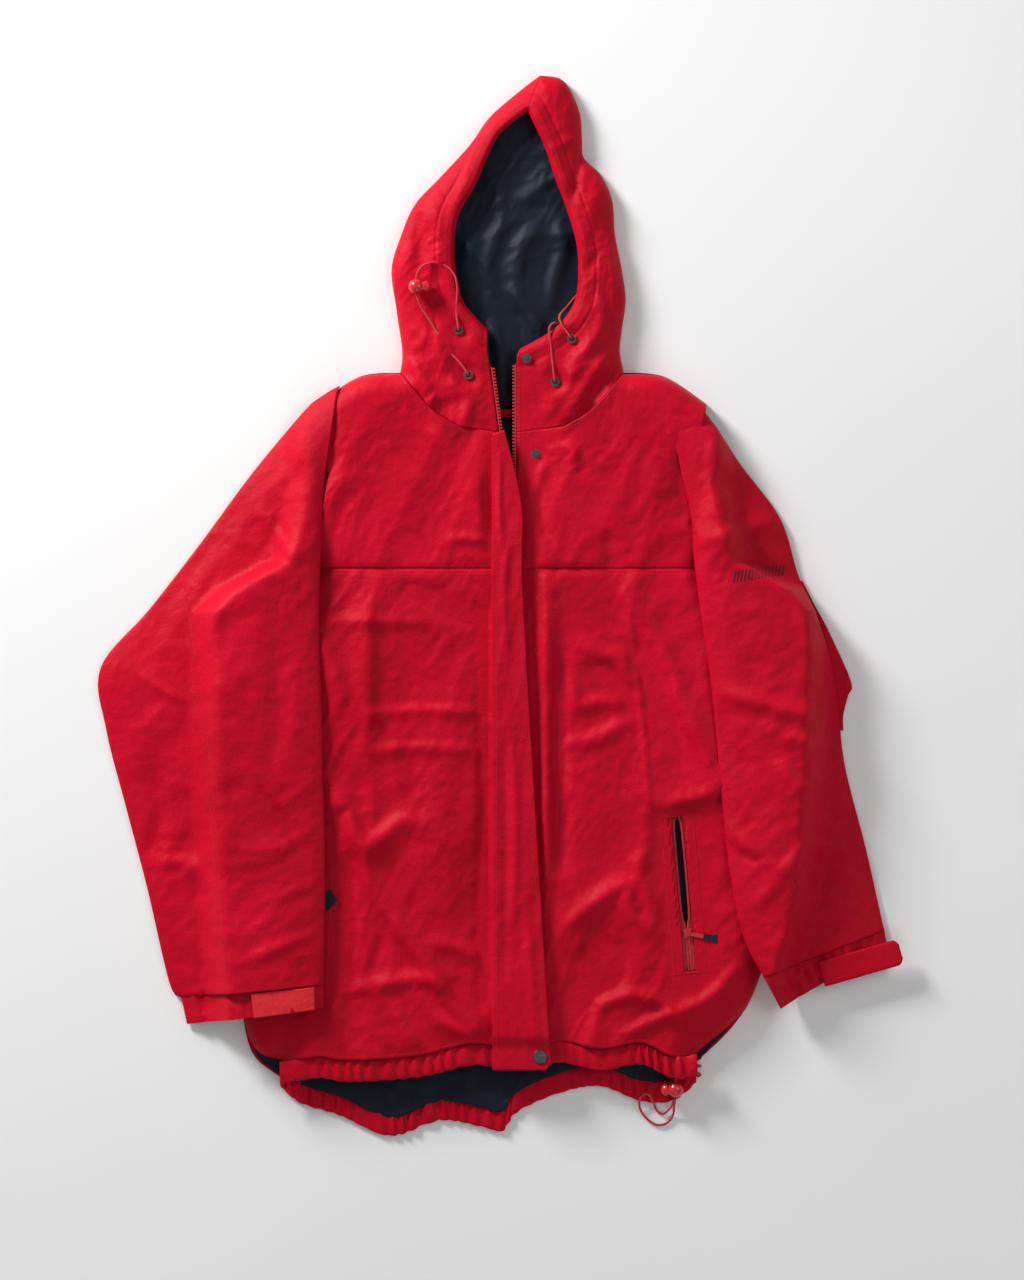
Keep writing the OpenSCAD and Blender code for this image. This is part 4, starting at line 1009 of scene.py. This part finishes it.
# %% Cuffs
cuff_edges = {
    "right": (line((-340, -402.3), (-337, -416), (-334, -430)),
              line((-193, -388.3), (-193, -400), (-193, -411))),
    "left": (line((383, -334.3), (384, -341), (386, -349)), line((258, -380.3), (267, -396), (276, -413))),
}
for side, (outer, inner) in cuff_edges.items():
    support = right_support if side == "right" else left_support
    grid, flat_tube = tube(outer, inner, support, 0.0078, 36, [], 101, gathers=0.0012)
    if side == "right":
        grid = grid[:, ::-1]
    cuff = cloth(side + "_cuff_cloth", grid[:, ::-1], 0.0006, shell_red, side + "_sleeve",
                 [side + "_cuff"], loop=True)
    declare(cuff, flat_tube)

# %% [markdown]
# A tab is a stiff strap with a rounded end, and it closes on a patch of looped pile.

# %% Cuff tabs and loop patches
def strap(name, length, width, base, angle, slope, body, node, material, thick):
    """A flat strap with a rounded end, from a point, turned and sloped."""
    s = np.linspace(0, 1, 44)
    half = width / 2 * np.sqrt(np.clip(1 - ((s - 0.93) / 0.07).clip(0) ** 2 * 0.75, 0, 1))
    t = np.linspace(-1, 1, 16)
    x = np.repeat((s * length)[:, None], 16, axis=1)
    y = half[:, None] * t[None]
    flat = np.stack([x, y], axis=-1)
    edge = np.minimum(1 - np.abs(t)[None], np.minimum(s, 1 - s)[:, None] * 4)
    z = 0.0006 * np.sqrt(edge.clip(0, 0.15) / 0.15) + crumple(flat, 0.014, 111) * 0.0003
    turn, lean = math.radians(angle), math.radians(slope)
    along = x * math.cos(lean) + z * math.sin(lean)
    up = z * math.cos(lean) - x * math.sin(lean)
    place = np.stack([base[0] + along * math.cos(turn) - y * math.sin(turn),
                      base[1] + along * math.sin(turn) + y * math.cos(turn), base[2] + up], axis=-1)
    piece = cloth(name, place, thick, material, body, [node])
    declare(piece, flat)
    return piece


def corner(node, index):
    return np.array(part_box(node)[index])


strap("left_tab_cloth", 0.084, 0.026, (0.318, -0.378, 0.0149), 16, 0, "left_cuff_tab", "left_cuff_tab",
      shell_red, 0.0016)
drop = corner("right_cuff_tab", 1)[2] - corner("right_cuff_tab", 0)[2]
sewn_height = float(corner("right_cuff_tab", 1)[2]) - 0.0006
lean = math.degrees(math.asin((drop - 0.0018) / 0.084))
strap("right_tab_cloth", 0.084, 0.019, (-0.198, -0.402, sewn_height), 180, lean, "right_cuff_tab",
      "right_cuff_tab", shell_red, 0.0016)
strap("left_patch_cloth", 0.032, 0.019, (0.3235, -0.3812, 0.0), 16, 0, "left_sleeve", "left_cuff_loop_patch",
      pile_red, 0.0)

outer, inner = cuff_edges["right"]
a, b = spread(outer, 20)[:, None], spread(inner, 20)[:, None]
u = np.linspace(0.5, 0.94, 60)[None, :, None]
xy = a + (b - a) * u + mm((0, -1))
full = np.sin(np.pi * u[..., 0]) ** 0.6
patch_top = lie(xy, right_support) + 0.0068 + 0.008 * full + crumple(xy, 0.004, 121) * 0.0003
patch = cloth("right_patch_cloth", raised(xy, patch_top)[::-1], 0.001, pile_red, "right_sleeve",
              ["right_cuff_loop_patch"])
declare(patch, xy)

# %% [markdown]
# ## Hem bands
# The hem is turned up over an elastic cord, and gathers into small ripples along its length.

# %% Hem bands
def hem_band(name, edge, middle_z, half_height, node, wave, seed):
    path = spread(edge - mm((0, 11)), 330)
    gone = np.concatenate([[0], np.cumsum(np.linalg.norm(np.diff(path, axis=0), axis=1))])
    turn = np.linspace(0, 2 * np.pi, 26, endpoint=False)
    s, t = gone[:, None], turn[None]
    phase = s / 0.0135 * 2 * np.pi + 3.5 * lattice_noise(s / 0.03, s * 0, seed)
    ripple = np.sin(phase + 0.7 * np.cos(t)) * (0.55 + 0.45 * lattice_noise(s / 0.05, s * 0 + 4, seed + 1))
    reach = 0.0112 * (1 + 0.07 * ripple * wave)
    y = path[:, 1][:, None] + reach * np.cos(t)
    x = path[:, 0][:, None] + 0 * t + 0.0008 * np.cos(phase) * np.cos(t)
    body = np.abs(np.sin(t)) ** 0.8 * np.sign(np.sin(t))
    z = middle_z + half_height * body + np.maximum(np.sin(t), 0) * ripple * 0.0021 * wave
    grid = np.stack([x, y, z.clip(0.0002)], axis=-1)
    piece = cloth(name, grid, 0.0005, shell_red, "torso", [node], loop=True)
    flat = np.stack([np.repeat(path[:, :1], 2, 1), np.stack([path[:, 1], path[:, 1] + 0.044], 1)], axis=-1)
    declare(piece, flat)
    return piece


back_band = hem_band("back_hem_cloth", back_hem, 0.0026, 0.0024, "back_hem_band", 1.0, 131)
right_band = hem_band("right_hem_cloth", right_hem, 0.0208, 0.0022, "right_hem_band", 0.7, 141)
left_band = hem_band("left_hem_cloth", left_hem, 0.0208, 0.0022, "left_hem_band", 1.0, 151)

# %% [markdown]
# ## Storm flap
# The flap is sewn to the right front and covers the zip. It is low at the hem, where it is snapped down.

# %% Flap and the upright fold that it is sewn to
FLAP_TOP = 0.0334
FLAP_LOW = 0.0287
flap_folds = [(1.8, 4, 5, [(-12, 150), (-14, 110), (-10, 60)]), (1.6, 4, 5, [(-4, 60), (-8, 10), (-4, -60)]),
              (1.8, 5, 6, [(0, -120), (4, -220), (2, -320)]),
              (1.8, 5, 6, [(14, -300), (20, -380), (24, -440)]),
              (-1.6, 5, 5, [(-8, -160), (-6, -260), (-8, -380)])]


def flap_height(xy):
    drop = ease((-0.4395 - xy[..., 1]) / 0.014)
    level = FLAP_TOP - (FLAP_TOP - FLAP_LOW) * drop
    from_snap = np.linalg.norm(xy - mm((29, -462)), axis=-1)
    free = ease((xy[..., 0] + 0.020) / 0.008) * ease((from_snap - 0.008) / 0.01)
    return level + (drawn_folds(xy, flap_folds) * 1.2 + crumple(xy, 0.026, 161, 80, 2.4, 2) * 0.0016) * free


plan = stretched(line((-20, -476), (34, -476)), line((-20, 176), (-8, 180)), line((-20, -476), (-20, 176)),
                 np.vstack([line((34, -476), (40, -468)), line((40, -468), (12, -10), (10, 100), (-8, 180))]),
                 34, 260)
flap = cloth("storm_flap_cloth", raised(plan, flap_height(plan)), 0.0017, shell_red, "storm_flap",
             ["storm_flap"])
declare(flap, plan)

rise = np.linspace(0, 1, 12)[None]
along = np.linspace(-0.430, 0.173, 150)[:, None]
fold_x = -0.0245 + 0.0049 * rise ** 0.6 + 0 * along
fold_z = 0.0228 + 0.0078 * rise ** 2.2 + 0 * along
placket = np.stack([fold_x, along + 0 * rise, fold_z], axis=-1)
base_cloth = cloth("flap_seam_cloth", placket, 0.0008, shell_red, "torso")
declare(base_cloth, placket)


# %% [markdown]
# ## Pockets
# A stitched welt frames each pocket zip, and the bag behind it reaches towards the front edge.

# %% Welts, bags and the woven tabs of the pulls
def turned(side, across, along):
    x, y, lean = pockets[side]
    c, s = math.cos(math.radians(lean)), math.sin(math.radians(lean))
    return np.stack([x * 0.001 + across * c - along * s, y * 0.001 + across * s + along * c], axis=-1)


for side in pockets:
    across, along = np.meshgrid(np.linspace(-0.019, 0.019, 60), np.linspace(-0.0835, 0.0835, 150))
    edge = np.minimum(0.019 - np.abs(across), 0.0835 - np.abs(along))
    plan = turned(side, across, along)
    height = 0.0229 + 0.0012 * np.sqrt((edge / 0.002).clip(0, 1)) + crumple(plan, 0.02, 171, 80, 2) * 0.0003
    welt = cloth(side + "_pocket_welt_cloth", raised(plan, height), 0.0008, shell_red, "torso",
                 [side + "_pocket_welt"], hole=slot_through(side, *WELT_SLOT))
    declare(welt, np.stack([across, along], axis=-1),
            less=4 * WELT_SLOT[0] * WELT_SLOT[1])
    bag_box = [np.array(corner_point) for corner_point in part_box(side + "_pocket_bag")]
    reach = 1 if side == "right" else -1
    across, along = np.meshgrid(np.linspace(-0.012, 0.098, 40) * reach, np.linspace(-0.0865, 0.0865, 60))
    plan = turned(side, across, along)
    if side == "left":
        plan = plan[:, ::-1]
    for level, part in ((bag_box[0][2] + 0.0006, "back"), (bag_box[1][2] - 0.0002, "front")):
        height = level + crumple(plan, 0.03, 181) * 0.0003
        bag = cloth(f"{side}_pocket_bag_{part}", raised(plan, height), 0.0005, lining_navy, "torso",
                    [side + "_pocket_bag"] if part == "back" else (),
                    hole=slot_through(side, *WELT_SLOT) if part == "front" else None)
        declare(bag, plan)

for side, turn in (("right", 61), ("left", -10)):
    pull = nodes[side + "_pocket_pull"]
    paint(pull, zip_red)
    pull.data.materials.append(label_navy)
    x, y, lean = pockets[side]
    shift = -34 if side == "right" else -40
    eye = turned(side, np.array(0.0), np.array(shift * 0.001))
    c, s = math.cos(math.radians(turn)), math.sin(math.radians(turn))
    for face in pull.data.polygons:
        if (face.center.x - eye[0]) * c + (face.center.y - eye[1]) * s > 0.0168:
            face.material_index = 1

# %% [markdown]
# ## Label and hanger loop
# Both are guessed: the inside of the collar hardly shows.

# %% Label and loop
across, along = np.meshgrid(np.linspace(-0.032, 0.032, 30), np.linspace(0.160, 0.188, 16))
plan = np.stack([across, along], axis=-1)
label = cloth("neck_label_cloth", raised(plan, 0.0037 + 0 * across), 0.0004, label_navy, "torso",
              ["neck_label"])
declare(label, plan)
loop_path = spread(mm([(-35, 0.6), (-27, 0.8), (-23, 6.8), (23, 6.8), (27, 0.8), (35, 0.6)]), 70)
width = np.linspace(0.194, 0.202, 8)[:, None]
strip = np.stack([np.repeat(loop_path[None, :, 0], 8, 0), width + 0 * loop_path[None, :, 0],
                  0.0031 + np.repeat(loop_path[None, :, 1], 8, 0)], axis=-1)
loop = cloth("hanger_loop_cloth", strip, 0.0006, tape_red, "torso", ["hanger_loop"])
print("the hanger loop is a tape 8 mm wide, too narrow to be declared as a sheet")


# %% [markdown]
# ## Stitching
# Lines of topstitching are dropped on to the cloth from above. Each stitch is a small tapered bar.

# %% Stitches
def stitch_field(name, body, targets, lines, material, pitch=0.0033, long=0.0023, thick=0.00032):
    trees = []
    for target in targets:
        mesh = target.data
        places = [v.co.copy() for v in mesh.vertices]
        trees.append(BVHTree.FromPolygons(places, [p.vertices for p in mesh.polygons]))
    points, faces = [], []
    for path in lines:
        length = float(np.linalg.norm(np.diff(path, axis=0), axis=1).sum())
        spots = spread(path, max(3, int(length / pitch)))
        ahead = np.gradient(spots, axis=0)
        for spot, way in zip(spots, ahead):
            hits = [tree.ray_cast(Vector((spot[0], spot[1], 0.2)), Vector((0, 0, -1)))[0] for tree in trees]
            hits = [hit.z for hit in hits if hit is not None]
            if not hits:
                continue
            way = way / max(np.linalg.norm(way), 1e-9)
            side = np.array((-way[1], way[0]))
            start = len(points)
            for step, size in ((-1, 0.35), (-0.6, 1), (0.6, 1), (1, 0.35)):
                for turn in range(6):
                    angle = turn * math.pi / 3
                    flat = spot + way * step * long / 2 + side * math.cos(angle) * thick * size
                    points.append((flat[0], flat[1], max(hits) + 0.00006 + math.sin(angle) * thick * size))
            for ring in range(3):
                for turn in range(6):
                    a, b = start + ring * 6 + turn, start + ring * 6 + (turn + 1) % 6
                    faces.append((a, b, b + 6, a + 6))
            faces.append(tuple(start + k for k in range(5, -1, -1)))
            faces.append(tuple(start + 18 + k for k in range(6)))
    mesh = bpy.data.meshes.new(name)
    mesh.from_pydata(points, [], faces)
    mesh.update()
    tidy = bmesh.new()
    tidy.from_mesh(mesh)
    bmesh.ops.recalc_face_normals(tidy, faces=tidy.faces)
    tidy.to_mesh(mesh)
    tidy.free()
    obj = bpy.data.objects.new(name, mesh)
    bpy.context.scene.collection.objects.link(obj)
    mesh.materials.append(material)
    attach(obj, body)
    print(name, len(faces) // 20, "stitches")


thread_red = hard_finish("thread", [(0.3, (0.34, 0.003, 0.012)), (0.7, (0.44, 0.006, 0.018))], 0.55, 0.0001)


def welt_lines(side):
    corners = [(-0.0165, -0.081), (0.0165, -0.081), (0.0165, 0.081), (-0.0165, 0.081), (-0.0165, -0.081)]
    around = spread(np.array(corners), 200)
    return turned(side, around[:, 0], around[:, 1])


def beside(path, off):
    ahead = np.gradient(path, axis=0)
    ahead /= np.maximum(np.linalg.norm(ahead, axis=1), 1e-9)[:, None]
    return path + np.stack([-ahead[:, 1], ahead[:, 0]], axis=1) * off


torso_cloths = [right_front, left_front, right_yoke, left_yoke, hood_right_cloth, hood_left_cloth, right_band,
                left_band, back_band] + [bpy.data.objects[side + "_pocket_welt_cloth"] for side in pockets]
torso_lines = [line((-203, 33), (-26, 33)), line((-203, 41), (-26, 41)), line((10, 33), (203, 33)),
               line((10, 41), (203, 41)), welt_lines("right"), welt_lines("left"),
               beside(face_right, 0.009), beside(face_left, -0.009), beside(neck, -0.004),
               mirror(beside(neck, -0.004)), right_hem + mm((0, 3)), left_hem + mm((0, 3)),
               back_hem - mm((0, 2)),
               line((10, 20), (10, -440)), line((8, 170), (8, 240))]
stitch_field("torso_stitches", "torso", torso_cloths, torso_lines, thread_red)
stitch_field("flap_stitches", "storm_flap", [flap], [
    line((-15.5, 168), (-15.5, -470)), line((6, 80), (8, -10), (34, -440), (35, -466)),
    line((-15, -471), (30, -471))], thread_red)
right_seam = line((-339, 6), (-327, -56), (-314, -159), (-305, -251), (-297, -385))
left_seam = line((216, -158), (241, -190), (266, -220), (279, -261), (312, -354))
stitch_field("right_sleeve_stitches", "right_sleeve", [sleeves["right"]],
             [right_seam, beside(right_seam, 0.005)], thread_red)
stitch_field("left_sleeve_stitches", "left_sleeve", [sleeves["left"]], [left_seam, beside(left_seam, 0.005)],
             thread_red)

# %% [markdown]
# The badge on the left sleeve is replaced with plain slanted bars of satin stitch, which spell nothing.

# %% Plain embroidered bars
bars = []
tilt = math.radians(8)
for k in range(15):
    start = np.array((-0.026 + k * 0.0037, -0.006))
    finish = start + np.array((0.0035, 0.0105))
    turn = np.array([[math.cos(tilt), -math.sin(tilt)], [math.sin(tilt), math.cos(tilt)]])
    bars.append(np.array([turn @ start, turn @ ((start + finish) / 2), turn @ finish]) + mm((251, 34)))
stitch_field("sleeve_bars", "left_sleeve", [sleeves["left"]], bars, label_navy, pitch=0.0012, long=0.0016,
             thick=0.0006)

# %% [markdown]
# ## The sheet it lies on

# %% Floor
bpy.ops.mesh.primitive_plane_add(size=12, location=(0, 0, -0.0004))
floor = bpy.context.object
floor.name = "floor"
floor_finish = Finish("white_sheet", Roughness=0.9)
floor_finish.feed("Base Color", floor_finish.ramp(floor_finish.noise(2, 2), [(0.3, (0.93, 0.93, 0.93)),
                                                                             (0.7, (0.96, 0.96, 0.96))]))
paint(floor, floor_finish.material)
